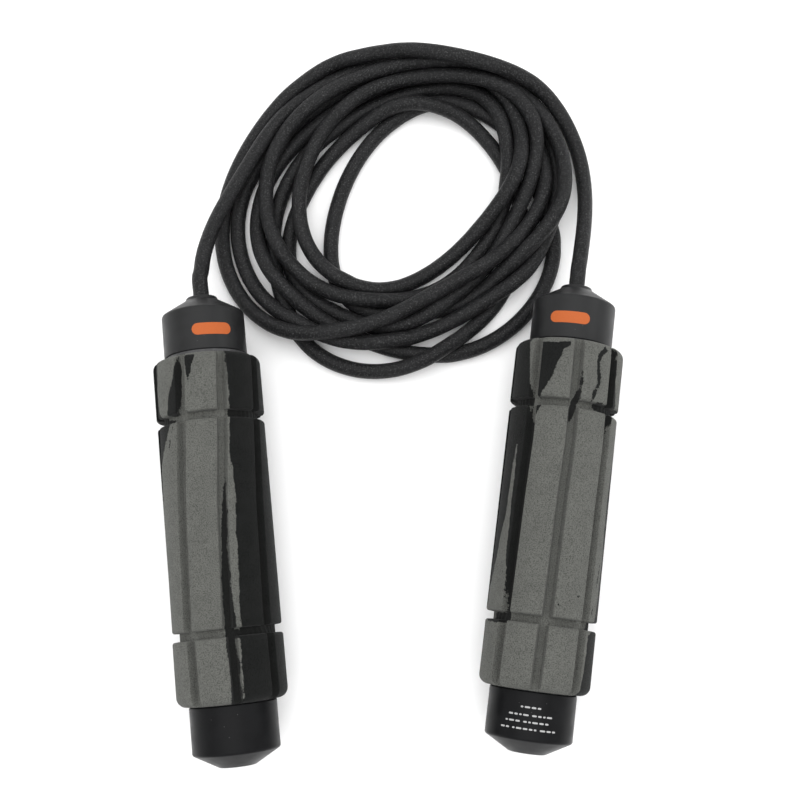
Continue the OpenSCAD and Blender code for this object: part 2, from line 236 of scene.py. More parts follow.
class Effects:
    """The surface effects that several finishes share, each a node group built once."""

    def __init__(self) -> None:
        """Builds every group."""
        self.cells = self._cells()
        self.grain = self._grain()
        self.wear = self._wear()
        self.turning = self._turning()
        self.dust = self._dust()

    @staticmethod
    def _cells() -> bpy.types.NodeTree:
        """Makes the closed-cell foam skin: fine pits, with a mask of them and a height.

        Returns:
            The group.
        """
        n, given, sink = new_group(
            "foam_cells",
            {"Position": ("Vector", 0.0), "Cell mm": ("Float", 0.5), "Softness": ("Float", 0.5)},
            ("Pits", "Mottle", "Height"))
        place, scale = given["Position"], n.per_metre(given["Cell mm"])
        cell = n.add("TexVoronoi", {"Vector": place, "Scale": scale, "Randomness": 1.0}, feature="F1")
        speck = n.ramp(n.noise(place, scale, 3.0, 0.7), 0.38, 0.56)
        mottle = n.noise(place, n.math("MULTIPLY", scale, 0.06), 2.0)
        pits = n.math("MULTIPLY", n.ramp(cell.outputs["Distance"], 0.2, 0.62), given["Softness"])
        height = n.math("ADD", n.math("MULTIPLY", speck, 0.7), pits)
        n.wire(sink, {"Pits": speck, "Mottle": mottle, "Height": height})
        return n.tree

    @staticmethod
    def _grain() -> bpy.types.NodeTree:
        """Makes moulded grain: a fine leathery height and a broad uneven value.

        Returns:
            The group.
        """
        n, given, sink = new_group(
            "moulded_grain", {"Position": ("Vector", 0.0), "Grain mm": ("Float", 0.3)}, ("Height", "Uneven"))
        place, scale = given["Position"], n.per_metre(given["Grain mm"])
        n.wire(sink, {"Height": n.noise(place, scale, 4.0, 0.6),
                      "Uneven": n.noise(place, n.math("MULTIPLY", scale, 0.05), 3.0)})
        return n.tree

    @staticmethod
    def _wear() -> bpy.types.NodeTree:
        """Makes edge wear: a broken mask along the outer edges.

        Returns:
            The group.
        """
        n, given, sink = new_group(
            "edge_wear", {"Position": ("Vector", 0.0), "Amount": ("Float", 0.5)}, ("Mask",))
        edge = n.ramp(n.add("NewGeometry").outputs["Pointiness"], 0.505, 0.56)
        broken = n.ramp(n.noise(given["Position"], 900.0, 5.0), 0.4, 0.65)
        mask = n.math("MULTIPLY", n.math("MULTIPLY", edge, broken), given["Amount"], clamp=True)
        n.wire(sink, {"Mask": mask})
        return n.tree

    @staticmethod
    def _turning() -> bpy.types.NodeTree:
        """Makes lathe marks: fine rings round the axis that Along points down.

        Returns:
            The group.
        """
        n, given, sink = new_group(
            "lathe_marks",
            {"Position": ("Vector", 0.0), "Along": ("Vector", 0.0), "Pitch mm": ("Float", 0.2)},
            ("Height", "Streak"))
        place, along, scale = given["Position"], given["Along"], n.per_metre(given["Pitch mm"])
        reach = n.add("VectorMath", {0: place, 1: along}, operation="DOT_PRODUCT").outputs["Value"]
        line = n.add("VectorMath", {0: along, "Scale": reach}, operation="SCALE").outputs[0]
        faint = n.add("VectorMath", {0: place, "Scale": 0.02}, operation="SCALE").outputs[0]
        flat = n.add("VectorMath", {0: line, 1: faint}, operation="ADD").outputs[0]
        n.wire(sink, {"Height": n.noise(flat, scale, 2.0),
                      "Streak": n.noise(place, n.math("MULTIPLY", scale, 0.04), 4.0)})
        return n.tree

    @staticmethod
    def _dust() -> bpy.types.NodeTree:
        """Makes sparse dust: small pale specks.

        Returns:
            The group.
        """
        n, given, sink = new_group(
            "dust_specks", {"Position": ("Vector", 0.0), "Apart mm": ("Float", 2.0), "Size": ("Float", 0.06)},
            ("Mask",))
        cell = n.add("TexVoronoi", {"Vector": given["Position"], "Scale": n.per_metre(given["Apart mm"])},
                     feature="F1")
        inside = n.math("SUBTRACT", given["Size"], cell.outputs["Distance"])
        n.wire(sink, {"Mask": n.ramp(inside, 0.0, 0.03)})
        return n.tree


# ---------------------------------------------------------------- finishes


@dataclass(frozen=True)
class Finish:
    """What every finish shares: a name and a way to start its material."""

    name: str

    def start(self) -> tuple[bpy.types.Material, Nodes, bpy.types.Node, bpy.types.NodeSocket]:
        """Opens a new material.

        Returns:
            The material, a hand on its nodes, its Principled shader and the object position.
        """
        material = bpy.data.materials.new(self.name)
        material.use_nodes = True
        nodes = Nodes(material.node_tree)
        shader = material.node_tree.nodes["Principled BSDF"]
        return material, nodes, shader, nodes.add("TexCoord").outputs["Object"]


@dataclass(frozen=True)
class FoamFinish(Finish):
    """Two-tone closed-cell foam: grey where dark_depth is negative, near-black where it is positive.

    torn and wavy are how far, in millimetres, the fine and the broad noise shift the edge between the two.
    """

    grey: Colour = (0.110, 0.112, 0.103)
    grey_pit: Colour = (0.053, 0.054, 0.049)
    black: Colour = (0.0074, 0.0080, 0.0077)
    black_pit: Colour = (0.0036, 0.0040, 0.0037)
    edge_dirt: Colour = (0.02, 0.02, 0.02)
    groove_shade: Colour = (0.03, 0.03, 0.028)
    cell: float = 0.36
    torn: float = 1.6
    wavy: float = 1.2
    shine: float = 0.08

    def _dark(self, n: Nodes, place: bpy.types.NodeSocket) -> bpy.types.NodeSocket:
        """Finds where the foam is black, with a torn and wavy edge.

        Args:
            n: a hand on the nodes.
            place: the position socket.

        Returns:
            A mask, 1 where the foam is black.
        """
        depth = n.add("Attribute", attribute_name="dark_depth").outputs["Fac"]
        torn = n.noise(place, 1400.0, 3.0, 0.7)
        wavy = n.noise(place, 260.0, 1.0)
        offset = n.math("ADD", n.math("MULTIPLY", n.math("SUBTRACT", torn, 0.5), self.torn),
                        n.math("MULTIPLY", n.math("SUBTRACT", wavy, 0.5), self.wavy))
        return n.ramp(n.math("ADD", depth, offset), -0.06, 0.06)

    def material(self, fx: Effects) -> bpy.types.Material:
        """Builds the two-tone foam.

        Args:
            fx: the shared effects.

        Returns:
            The material.
        """
        material, n, shader, place = self.start()
        cells = n.group(fx.cells, {"Position": place, "Cell mm": self.cell, "Softness": 0.15}).outputs
        pits, mottle = cells["Pits"], n.ramp(cells["Mottle"], 0.35, 0.65)
        groove = n.add("Attribute", attribute_name="groove").outputs["Fac"]
        tone = n.mix(self._dark(n, place), n.mix(pits, self.grey_pit, self.grey),
                     n.mix(pits, self.black_pit, self.black))
        tone = n.mix(n.math("MULTIPLY", mottle, 0.10), tone, self.edge_dirt)
        tone = n.mix(n.math("MULTIPLY", groove, 0.14), tone, self.groove_shade)
        n.wire(shader, {"Base Color": tone, "Roughness": n.ramp(pits, 0.0, 1.0, 0.95, 0.82)})
        n.bump(shader, 0.55, 0.00012, cells["Height"])
        shader.inputs["Specular IOR Level"].default_value = self.shine
        shader.inputs["Sheen Weight"].default_value = 0.05
        shader.inputs["Sheen Roughness"].default_value = 0.5
        return material


@dataclass(frozen=True)
class PlasticFinish(Finish):
    """Moulded plastic with a fine grain, worn edges and a little dust."""

    colour: Colour = (0.020, 0.020, 0.021)
    worn: Colour = (0.08, 0.08, 0.08)
    rough: float = 0.42
    grain: float = 0.25
    relief: float = 0.12
    wear: float = 0.4
    dust: float = 0.25
    dust_colour: Colour = (0.35, 0.35, 0.34)
    shine: float = 0.5

    def material(self, fx: Effects) -> bpy.types.Material:
        """Builds the plastic.

        Args:
            fx: the shared effects.

        Returns:
            The material.
        """
        material, n, shader, place = self.start()
        grain = n.group(fx.grain, {"Position": place, "Grain mm": self.grain}).outputs
        wear = n.group(fx.wear, {"Position": place, "Amount": self.wear}).outputs["Mask"]
        dust = n.group(fx.dust, {"Position": place, "Apart mm": 3.0, "Size": 0.05}).outputs["Mask"]
        deep = tuple(0.75 * c for c in self.colour)
        base = n.mix(n.ramp(grain["Uneven"], 0.3, 0.7), deep, self.colour)
        base = n.mix(wear, base, self.worn)
        base = n.mix(n.math("MULTIPLY", dust, self.dust), base, self.dust_colour)
        rough = n.ramp(grain["Uneven"], 0.3, 0.7, self.rough - 0.05, self.rough + 0.06)
        n.wire(shader, {"Base Color": base, "Roughness": rough})
        n.bump(shader, self.relief, 0.00005, grain["Height"])
        shader.inputs["Specular IOR Level"].default_value = self.shine
        return material


@dataclass(frozen=True)
class CordFinish(Finish):
    """Matte black extruded cord skin with a fine pale speckle and a slight unevenness."""

    colour: Colour = (0.0050, 0.0051, 0.0054)
    bloom: Colour = (0.029, 0.029, 0.030)
    dust: Colour = (0.13, 0.13, 0.13)
    rough: float = 0.46
    grain: float = 0.6
    shine: float = 0.145

    def material(self, fx: Effects) -> bpy.types.Material:
        """Builds the cord skin.

        Args:
            fx: the shared effects.

        Returns:
            The material.
        """
        material, n, shader, place = self.start()
        grain = n.group(fx.grain, {"Position": place, "Grain mm": self.grain}).outputs
        dust = n.group(fx.dust, {"Position": place, "Apart mm": 1.1, "Size": 0.16}).outputs["Mask"]
        haze = n.ramp(grain["Uneven"], 0.35, 0.75)
        fine = n.ramp(grain["Height"], 0.50, 0.62)
        base = n.mix(n.math("MULTIPLY", haze, 0.22), self.colour, self.bloom)
        base = n.mix(n.math("MULTIPLY", fine, 0.85), base, self.bloom)
        base = n.mix(n.math("MULTIPLY", dust, 0.45), base, self.dust)
        rough = n.ramp(haze, 0.0, 1.0, self.rough - 0.06, self.rough + 0.08)
        n.wire(shader, {"Base Color": base, "Roughness": rough})
        n.bump(shader, 1.0, 0.00025, grain["Height"])
        shader.inputs["Specular IOR Level"].default_value = self.shine
        return material


@dataclass(frozen=True)
class MetalFinish(Finish):
    """Turned or pressed metal: fine rings, uneven polish and worn edges."""

    colour: Colour = (0.55, 0.55, 0.56)
    rough: float = 0.3
    pitch: float = 0.25
    relief: float = 0.15
    along: Point3 = (0.0, 0.0, 1.0)

    def material(self, fx: Effects) -> bpy.types.Material:
        """Builds the metal.

        Args:
            fx: the shared effects.

        Returns:
            The material.
        """
        material, n, shader, place = self.start()
        marks = n.group(fx.turning, {"Position": place, "Along": self.along, "Pitch mm": self.pitch}).outputs
        wear = n.group(fx.wear, {"Position": place, "Amount": 0.5}).outputs["Mask"]
        streak = n.ramp(marks["Streak"], 0.3, 0.7)
        dull = tuple(0.8 * c for c in self.colour)
        bright = tuple(min(1.0, 1.2 * c + 0.02) for c in self.colour)
        rough = n.ramp(streak, 0.0, 1.0, self.rough + 0.08, self.rough - 0.05)
        base = n.mix(wear, n.mix(streak, dull, self.colour), bright)
        n.wire(shader, {"Base Color": base, "Roughness": rough})
        n.bump(shader, self.relief, 0.00003, marks["Height"])
        shader.inputs["Metallic"].default_value = 1.0
        return material


@dataclass(frozen=True)
class InkFinish(Finish):
    """Pad-printed ink, a little thin and uneven."""

    colour: Colour = (0.41, 0.092, 0.019)
    shine: float = 0.2

    def material(self, fx: Effects) -> bpy.types.Material:
        """Builds the ink.

        Args:
            fx: the shared effects.

        Returns:
            The material.
        """
        material, n, shader, place = self.start()
        height = n.group(fx.grain, {"Position": place, "Grain mm": 0.2}).outputs["Height"]
        thin = n.ramp(height, 0.3, 0.7)
        faded = tuple(0.86 * c for c in self.colour)
        n.wire(shader, {"Base Color": n.mix(thin, faded, self.colour),
                        "Roughness": n.ramp(thin, 0.0, 1.0, 0.55, 0.45)})
        n.bump(shader, 0.1, 0.00003, height)
        shader.inputs["Specular IOR Level"].default_value = self.shine
        return material


# ---------------------------------------------------------------- mesh helpers


def rounded(corners: Sequence[Point2], radii: dict[int, float], steps: int = 6) -> list[Point2]:
    """Rounds chosen corners of a closed outline.

    Args:
        corners: the outline's corners in order.
        radii: corner number to rounding radius.
        steps: pieces per rounding.

    Returns:
        The outline with its roundings.
    """
    out: list[Point2] = []
    count = len(corners)
    for i, corner in enumerate(corners):
        here = np.array(corner, float)
        radius = radii.get(i, 0.0)
        if not radius:
            out.append((float(here[0]), float(here[1])))
            continue
        to_last = np.array(corners[i - 1], float) - here
        to_next = np.array(corners[(i + 1) % count], float) - here
        to_last /= np.linalg.norm(to_last)
        to_next /= np.linalg.norm(to_next)
        half = 0.5 * math.acos(max(-1.0, min(1.0, float(to_last @ to_next))))
        cut = radius / math.tan(half)
        middle = here + (to_last + to_next) / np.linalg.norm(to_last + to_next) * radius / math.sin(half)
        first = here + to_last * cut - middle
        last = here + to_next * cut - middle
        for k in range(steps + 1):
            way = first * (1 - k / steps) + last * (k / steps)
            way = middle + way / np.linalg.norm(way) * radius
            out.append((float(way[0]), float(way[1])))
    return out


def linked(name: str, data: bpy.types.ID) -> bpy.types.Object:
    """Makes an object and links it to the scene.

    Args:
        name: the object's name.
        data: its mesh, curve, light or camera.

    Returns:
        The new object.
    """
    obj = bpy.data.objects.new(name, data)
    bpy.context.scene.collection.objects.link(obj)
    return obj


def mesh_object(name: str, vertices: Sequence[Sequence[float]] | np.ndarray, faces: Iterable[Sequence[int]],
                place: Matrix, smooth_angle: float = 35.0) -> bpy.types.Object:
    """Makes a mesh object from millimetre points.

    Args:
        name: the object's name.
        vertices: points in the object's own frame, in millimetres.
        faces: vertex numbers of each face.
        place: where the object stands.
        smooth_angle: edges sharper than this stay crisp.

    Returns:
        The new object.
    """
    mesh = bpy.data.meshes.new(name)
    mesh.from_pydata([tuple(float(c) * MM for c in v) for v in vertices], [], [tuple(f) for f in faces])
    mesh.validate()
    mesh.update()
    obj = linked(name, mesh)
    obj.matrix_world = place
    mesh.shade_smooth()
    mesh.set_sharp_from_angle(angle=math.radians(smooth_angle))
    return obj


def lathe(name: str, outline: Sequence[Point2], place: Matrix, around: int = 160) -> bpy.types.Object:
    """Turns a closed outline of (radius, back) about local Z.

    Args:
        name: the object's name.
        outline: the outline's corners.
        place: where the object stands.
        around: pieces round the axis.

    Returns:
        The turned object.
    """
    rows = np.array(outline, float)
    turn = 2 * np.pi * np.arange(around) / around
    ring = np.stack([np.cos(turn), np.sin(turn)], 1)
    points = np.concatenate([np.column_stack([ring * r, np.full(around, -back)]) for r, back in rows])
    on_axis = rows[:, 0] < 1e-6
    faces = []
    for i in range(len(rows)):
        j = (i + 1) % len(rows)
        if on_axis[i] and on_axis[j]:
            continue
        for k in range(around):
            m = (k + 1) % around
            if on_axis[i]:
                faces.append((i * around, j * around + m, j * around + k))
            elif on_axis[j]:
                faces.append((i * around + k, i * around + m, j * around))
            else:
                faces.append((i * around + k, i * around + m, j * around + m, j * around + k))
    obj = mesh_object(name, points, faces, place)
    clean(obj)
    return obj


def clean(obj: bpy.types.Object) -> None:
    """Joins doubled points and turns all faces outwards.

    Args:
        obj: the mesh object.
    """
    mesh = bmesh.new()
    mesh.from_mesh(obj.data)
    bmesh.ops.remove_doubles(mesh, verts=mesh.verts, dist=1e-6)
    loose = [v for v in mesh.verts if not v.link_faces]
    bmesh.ops.delete(mesh, geom=loose, context="VERTS")
    bmesh.ops.recalc_face_normals(mesh, faces=mesh.faces)
    mesh.to_mesh(obj.data)
    mesh.free()


def paint(obj: bpy.types.Object, material: bpy.types.Material) -> None:
    """Gives the object this one material."""
    obj.data.materials.clear()
    obj.data.materials.append(material)


def smoothstep(value: np.ndarray, low: float, high: float) -> np.ndarray:
    """Returns 0 below low, 1 above high and a smooth rise between."""
    t = np.clip((value - low) / (high - low), 0.0, 1.0)
    return t * t * (3 - 2 * t)


# ---------------------------------------------------------------- handle


@dataclass(frozen=True)
class Axis:
    """Where one handle lies: its nose lip, its forward direction and the matching matrix."""

    side: Side
    nose: Vector
    forward: Vector

    @property
    def place(self) -> Matrix:
        """The handle's own frame: +Z forward, -Y up, +X to the right, in metres.

        Returns:
            The matrix that carries the frame to its place.
        """
        right = self.forward.cross(Vector((0, 0, 1))).normalized()
        down = self.forward.cross(right).normalized()
        turn = Matrix((right, down, self.forward)).transposed()
        return Matrix.Translation(self.nose) @ turn.to_4x4()

    def behind(self, back: float) -> Vector:
        """Returns the point on the axis this far behind the lip, in metres."""
        return self.nose - self.forward * back * MM

    @staticmethod
    def of(side: Side, bearing_mid: float) -> "Axis":
        """Reads a handle's axis from its joint in the record.

        Args:
            side: which handle.
            bearing_mid: distance from the nose lip to the middle of the bearing.

        Returns:
            The axis.
        """
        name = f"handle_spin_{side.value}"
        joint = next(j for j in frame["joints"] if j["name"] == name)
        forward = Vector(joint["axis"]).normalized()
        return Axis(side, Vector(joint["pos_m"]) + forward * bearing_mid * MM, forward)


@dataclass(frozen=True)
class Patch:
    """A patch of black foam, or of painted shade where a thin patch stands for a crease's shadow: its corners as
    (degrees from the top, back).
    """

    corners: tuple[Point2, ...]

    def depth(self, arc: np.ndarray, back: np.ndarray, radius: float) -> np.ndarray:
        """Measures how far inside the patch points lie.

        Args:
            arc: distance round the grip from the top.
            back: distance behind the lip.
            radius: the radius that the arc is measured at.

        Returns:
            The distance from the edge, positive inside.
        """
        to_arc = math.radians(1.0) * radius
        pts = np.array(self.corners, float) * (to_arc, 1.0)
        best = np.full(arc.shape, 1e9)
        inside = np.zeros(arc.shape, bool)
        for a, b in zip(pts, np.roll(pts, -1, 0)):
            along = b - a
            t = np.clip(((arc - a[0]) * along[0] + (back - a[1]) * along[1]) / max(along @ along, 1e-9), 0, 1)
            best = np.minimum(best, np.hypot(arc - a[0] - t * along[0], back - a[1] - t * along[1]))
            straddles = (a[1] > back) != (b[1] > back)
            if along[1]:
                inside ^= straddles & (arc < a[0] + (back - a[1]) * along[0] / along[1])
        return np.where(inside, best, -best)


@dataclass
class FoamGrip:
    """The ribbed foam grip: three bands, ring grooves between them and lengthwise grooves all round."""

    axis: Axis
    twist: tuple[Point2, ...]
    patches: tuple[Patch, ...]
    bands: tuple[Point2, ...] = ((24.8, 48.3), (51.3, 126.3), (129.3, 152.3))
    band_r: tuple[float, ...] = (20.2, 19.6, 20.2)
    bore_r: float = 15.0
    groove_floor: float = 17.2
    groove_w: float = 4.2
    groove_slope: float = 0.9
    end_round: float = 2.6
    tail_round: float = 3.4
    inner_round: float = 0.9
    grooves: int = 8
    rib_h: float = 0.18
    ribs_per_groove: int = 6
    edge_rows: tuple[float, ...] = (0, 0.05, 0.15, 0.3, 0.5, 0.75, 1.1, 1.5, 2.0, 2.6, 3.3)
    flat_from: float = 4.5
    row_gap: float = 2.2

    def _stations(self) -> np.ndarray:
        """Chooses the rows along the grip, crowded where the profile bends.

        Returns:
            Their distances behind the lip.
        """
        rows: list[float] = []
        edge = np.array(self.edge_rows)
        for start, stop in self.bands:
            between = max(8, int((stop - start) / self.row_gap))
            rows += [*(start + edge), *(stop - edge)]
            rows += list(np.linspace(start + self.flat_from, stop - self.flat_from, between))
        for (_, stop), (start, _) in zip(self.bands, self.bands[1:]):
            rows += list(np.linspace(stop + 0.15, start - 0.15, 12))
        return np.unique(np.round(rows, 3))

    def _angles(self) -> np.ndarray:
        """Chooses the columns round the grip, crowded at the groove walls.

        Returns:
            Their angles in degrees.
        """
        pitch = 360.0 / self.grooves
        half = math.degrees(self.groove_w / 2 / self.band_r[0])
        wall = math.degrees(self.groove_slope / self.band_r[0])
        local = np.concatenate([
            np.linspace(-half - 0.6 * wall, -half + 1.5 * wall, 10), [0.0],
            np.linspace(half - 1.5 * wall, half + 0.6 * wall, 10),
            np.linspace(half + 1.4 * wall, pitch - half - 1.4 * wall, 18)])
        return np.sort(np.concatenate([k * pitch + local for k in range(self.grooves)]))

    def _radius(self, angle: np.ndarray, back: np.ndarray) -> tuple[np.ndarray, np.ndarray]:
        """Works out the surface.

        Args:
            angle: degrees from groove to groove.
            back: distance behind the lip.

        Returns:
            The radius, and how deep in a groove each point is from 0 to 1.
        """
        outer = np.full(back.shape, self.groove_floor)
        last = len(self.bands) - 1
        for i, ((start, stop), top) in enumerate(zip(self.bands, self.band_r)):
            inside = (back >= start) & (back <= stop)
            ends = ((back - start, self.end_round if i == 0 else self.inner_round),
                    (stop - back, self.tail_round if i == last else self.inner_round))
            drop = np.zeros(back.shape)
            for gap, radius in ends:
                t = np.clip(1 - gap / radius, 0, 1)
                drop = np.maximum(drop, radius * (1 - np.sqrt(1 - t * t)))
            outer = np.where(inside, top - drop, outer)
        ribs = self.rib_h * (0.5 + 0.5 * np.cos(angle * self.grooves * self.ribs_per_groove * np.pi / 180.0))
        gap = np.ones(back.shape, bool)
        for start, stop in self.bands:
            gap &= (back < start) | (back > stop)
        outer = np.where(gap, outer - ribs, outer)
        pitch = 360.0 / self.grooves
        near = (angle + pitch / 2) % pitch - pitch / 2
        away = np.abs(np.radians(near)) * self.band_r[0]
        wall = smoothstep(away, self.groove_w / 2 - self.groove_slope, self.groove_w / 2)
        floor = np.minimum(outer, self.groove_floor + 0.1)
        deep = (1 - wall) * smoothstep(outer - floor, 0.0, 0.5)
        return floor + (outer - floor) * wall, np.maximum(deep, np.where(gap, 0.6, 0.0))

    def _dark_depth(self, angle: np.ndarray, back: np.ndarray) -> np.ndarray:
        """Measures how far inside the black patches points lie: black foam, and one painted crease shadow.

        Args:
            angle: degrees from the top.
            back: distance behind the lip.

        Returns:
            The distance, positive inside.
        """
        turned = (angle + 180.0) % 360.0 - 180.0
        best = np.full(angle.shape, -1e9)
        radius = self.band_r[0]
        for patch in self.patches:
            for wrap in (-360.0, 0.0, 360.0):
                best = np.maximum(best, patch.depth(np.radians(turned + wrap) * radius, back, radius))
        return np.clip(best, -5.0, 5.0)

    def build(self, material: bpy.types.Material) -> bpy.types.Object:
        """Builds the grip.

        Args:
            material: its foam.

        Returns:
            The finished grip.
        """
        rows, round_ = self._stations(), self._angles()
        angle, back = np.meshgrid(round_, rows)
        radius, groove = self._radius(angle, back)
        seen = angle + np.interp(back, *zip(*self.twist))
        x = radius * np.sin(np.radians(seen))
        y = -radius * np.cos(np.radians(seen))
        outside = np.stack([x, y, -back], -1).reshape(-1, 3)
        count = len(round_)
        front, rear = (np.column_stack([self.bore_r * np.sin(np.radians(seen[i])),
                                        -self.bore_r * np.cos(np.radians(seen[i])),
                                        np.full(count, -rows[i])]) for i in (0, -1))
        points = np.concatenate([outside, front, rear])
        start_front, start_rear = len(outside), len(outside) + count
        faces = []
        for k in range(count):
            m = (k + 1) % count
            for i in range(len(rows) - 1):
                faces.append((i * count + k, (i + 1) * count + k, (i + 1) * count + m, i * count + m))
            edge = (len(rows) - 1) * count
            faces.append((start_front + k, k, m, start_front + m))
            faces.append((edge + k, start_rear + k, start_rear + m, edge + m))
            faces.append((start_rear + k, start_front + k, start_front + m, start_rear + m))
        name = f"foam_skin_{self.axis.side.value}"
        obj = mesh_object(name, points, faces, self.axis.place, smooth_angle=50.0)
        values = {"dark_depth": self._dark_depth(seen, back), "groove": groove}
        for key, value in values.items():
            layer = obj.data.attributes.new(key, "FLOAT", "POINT")
            row = value.reshape(-1)
            layer.data.foreach_set("value", np.concatenate([row, value[0], value[-1]]).astype(np.float32))
        paint(obj, material)
        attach(obj, f"grip_unit_{self.axis.side.value}")
        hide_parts(f"foam_grip_{self.axis.side.value}")
        return obj


@dataclass
class FrontCap:
    """The black nose: a lip, a cone, a straight side and a spigot that holds the bearing."""

    axis: Axis
    lip: float = 1.4
    lip_r: float = 5.7
    bore_r: float = 4.5
    cone_end: float = 8.3
    side_r: float = 15.5
    rear: float = 24.8
    pocket_r: float = 8.9
    pocket_front: float = 8.8
    seat_r: float = 11.0
    seat_front: float = 10.0
    spigot_r: float = 12.5
    spigot_rear: float = 36.8

    def build(self, material: bpy.types.Material) -> bpy.types.Object:
        """Builds the cap.

        Args:
            material: its plastic.

        Returns:
            The finished cap.
        """
        corners = [(self.bore_r, self.lip), (self.lip_r, self.lip), (self.lip_r + 0.6, self.lip + 1.3),
                   (self.side_r, self.cone_end),
                   (self.side_r, self.rear), (self.spigot_r, self.rear), (self.spigot_r, self.spigot_rear),
                   (self.seat_r, self.spigot_rear), (self.seat_r, self.seat_front),
                   (self.pocket_r, self.seat_front), (self.pocket_r, self.pocket_front),
                   (self.bore_r, self.pocket_front)]
        outline = rounded(corners, {0: 0.3, 1: 0.5, 2: 0.8, 3: 1.3, 4: 0.5})
        side = self.axis.side.value
        obj = lathe(f"nose_cap_{side}", outline, self.axis.place)
        paint(obj, material)
        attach(obj, f"grip_unit_{side}")
        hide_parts(f"front_cap_{side}")
        return obj


@dataclass
class EndCap:
    """The black end cap: shoulder, straight side, bevel, flat end and a ridged spigot with a stud hole."""

    axis: Axis
    shoulder: float = 152.6
    side_r: float = 15.75
    bevel: float = 169.3
    rear: float = 174.5
    face_r: float = 6.5
    spigot_r: float = 12.0
    spigot_front: float = 139.6
    ridge_h: float = 0.2
    ridges: int = 4
    hole_r: float = 3.05
    hole_rear: float = 148.6
    dish: float = 0.4
    dish_slope: float = 0.6

    def build(self, material: bpy.types.Material) -> bpy.types.Object:
        """Builds the cap.

        Args:
            material: its plastic.

        Returns:
            The finished cap.
        """
        dished = self.rear - self.dish
        corners: list[Point2] = [(0.0, dished), (self.face_r - self.dish_slope, dished),
                                 (self.face_r, self.rear), (self.side_r, self.bevel),
                                 (self.side_r, self.shoulder), (self.spigot_r, self.shoulder)]
        radii = {2: 0.5, 3: 1.2, 4: 0.4}
        pitch = (self.shoulder - self.spigot_front) / (self.ridges + 1)
        for k in range(self.ridges, 0, -1):
            middle = self.spigot_front + k * pitch
            corners += [(self.spigot_r + high, middle + off) for high, off in (
                (0.0, 0.7), (self.ridge_h, 0.3), (self.ridge_h, -0.3), (0.0, -0.7))]
        corners += [(self.spigot_r, self.spigot_front), (self.hole_r, self.spigot_front),
                    (self.hole_r, self.hole_rear), (0.0, self.hole_rear)]
        side = self.axis.side.value
        obj = lathe(f"tail_cap_{side}", rounded(corners, radii), self.axis.place)
        paint(obj, material)
        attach(obj, f"cap_unit_{side}")
        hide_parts(f"end_cap_{side}")
        return obj


@dataclass
class Print:
    """Ink printed on a round side: plain rounded bars laid round it."""

    axis: Axis
    name: str
    body: str
    radius: float
    bars: tuple[tuple[float, float, float, float], ...]
    lift: float = 0.04

    def _bar(self, middle: float, back: float, length: float, height: float,
             start: int) -> tuple[list[Point3], list[tuple[int, ...]]]:
        """Makes one bar with round ends.

        Args:
            middle: degrees from the top.
            back: distance behind the lip.
            length: along the arc.
            height: along the axis.
            start: number of the first vertex.

        Returns:
            The bar's points and faces.
        """
        half = length / 2 - height / 2
        arcs = np.concatenate([-half - height / 2 * np.cos(np.linspace(0, np.pi / 2, 6)),
                               np.linspace(-half, half, max(2, int(length)))[1:-1],
                               half + height / 2 * np.sin(np.linspace(0, np.pi / 2, 6))])
        over = np.clip(np.abs(arcs) - half, 0, height / 2)
        tall = np.sqrt(np.maximum((height / 2) ** 2 - over ** 2, 1e-6))
        points: list[Point3] = []
        for arc, rise in zip(arcs, tall):
            turn = math.radians(middle) + arc / self.radius
            for r in (self.radius - self.lift, self.radius + self.lift):
                for side in (-1, 1):
                    points.append((r * math.sin(turn), -r * math.cos(turn), -(back + side * rise)))
        faces: list[tuple[int, ...]] = []
        last = len(arcs) - 1
        for i in range(last):
            a, b = start + 4 * i, start + 4 * (i + 1)
            faces += [(a + 2, b + 2, b + 3, a + 3), (a, a + 1, b + 1, b),
                      (a, b, b + 2, a + 2), (a + 1, a + 3, b + 3, b + 1)]
        end = start + 4 * last
        faces += [(start, start + 2, start + 3, start + 1), (end, end + 1, end + 3, end + 2)]
        return points, faces

    def build(self, material: bpy.types.Material) -> bpy.types.Object:
        """Builds the print.

        Args:
            material: its ink.

        Returns:
            The finished print.
        """
        points: list[Point3] = []
        faces: list[tuple[int, ...]] = []
        for middle, back, length, height in self.bars:
            more, sides = self._bar(middle, back, length, height, len(points))
            points += more
            faces += sides
        obj = mesh_object(self.name, points, faces, self.axis.place)
        paint(obj, material)
        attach(obj, self.body)
        return obj


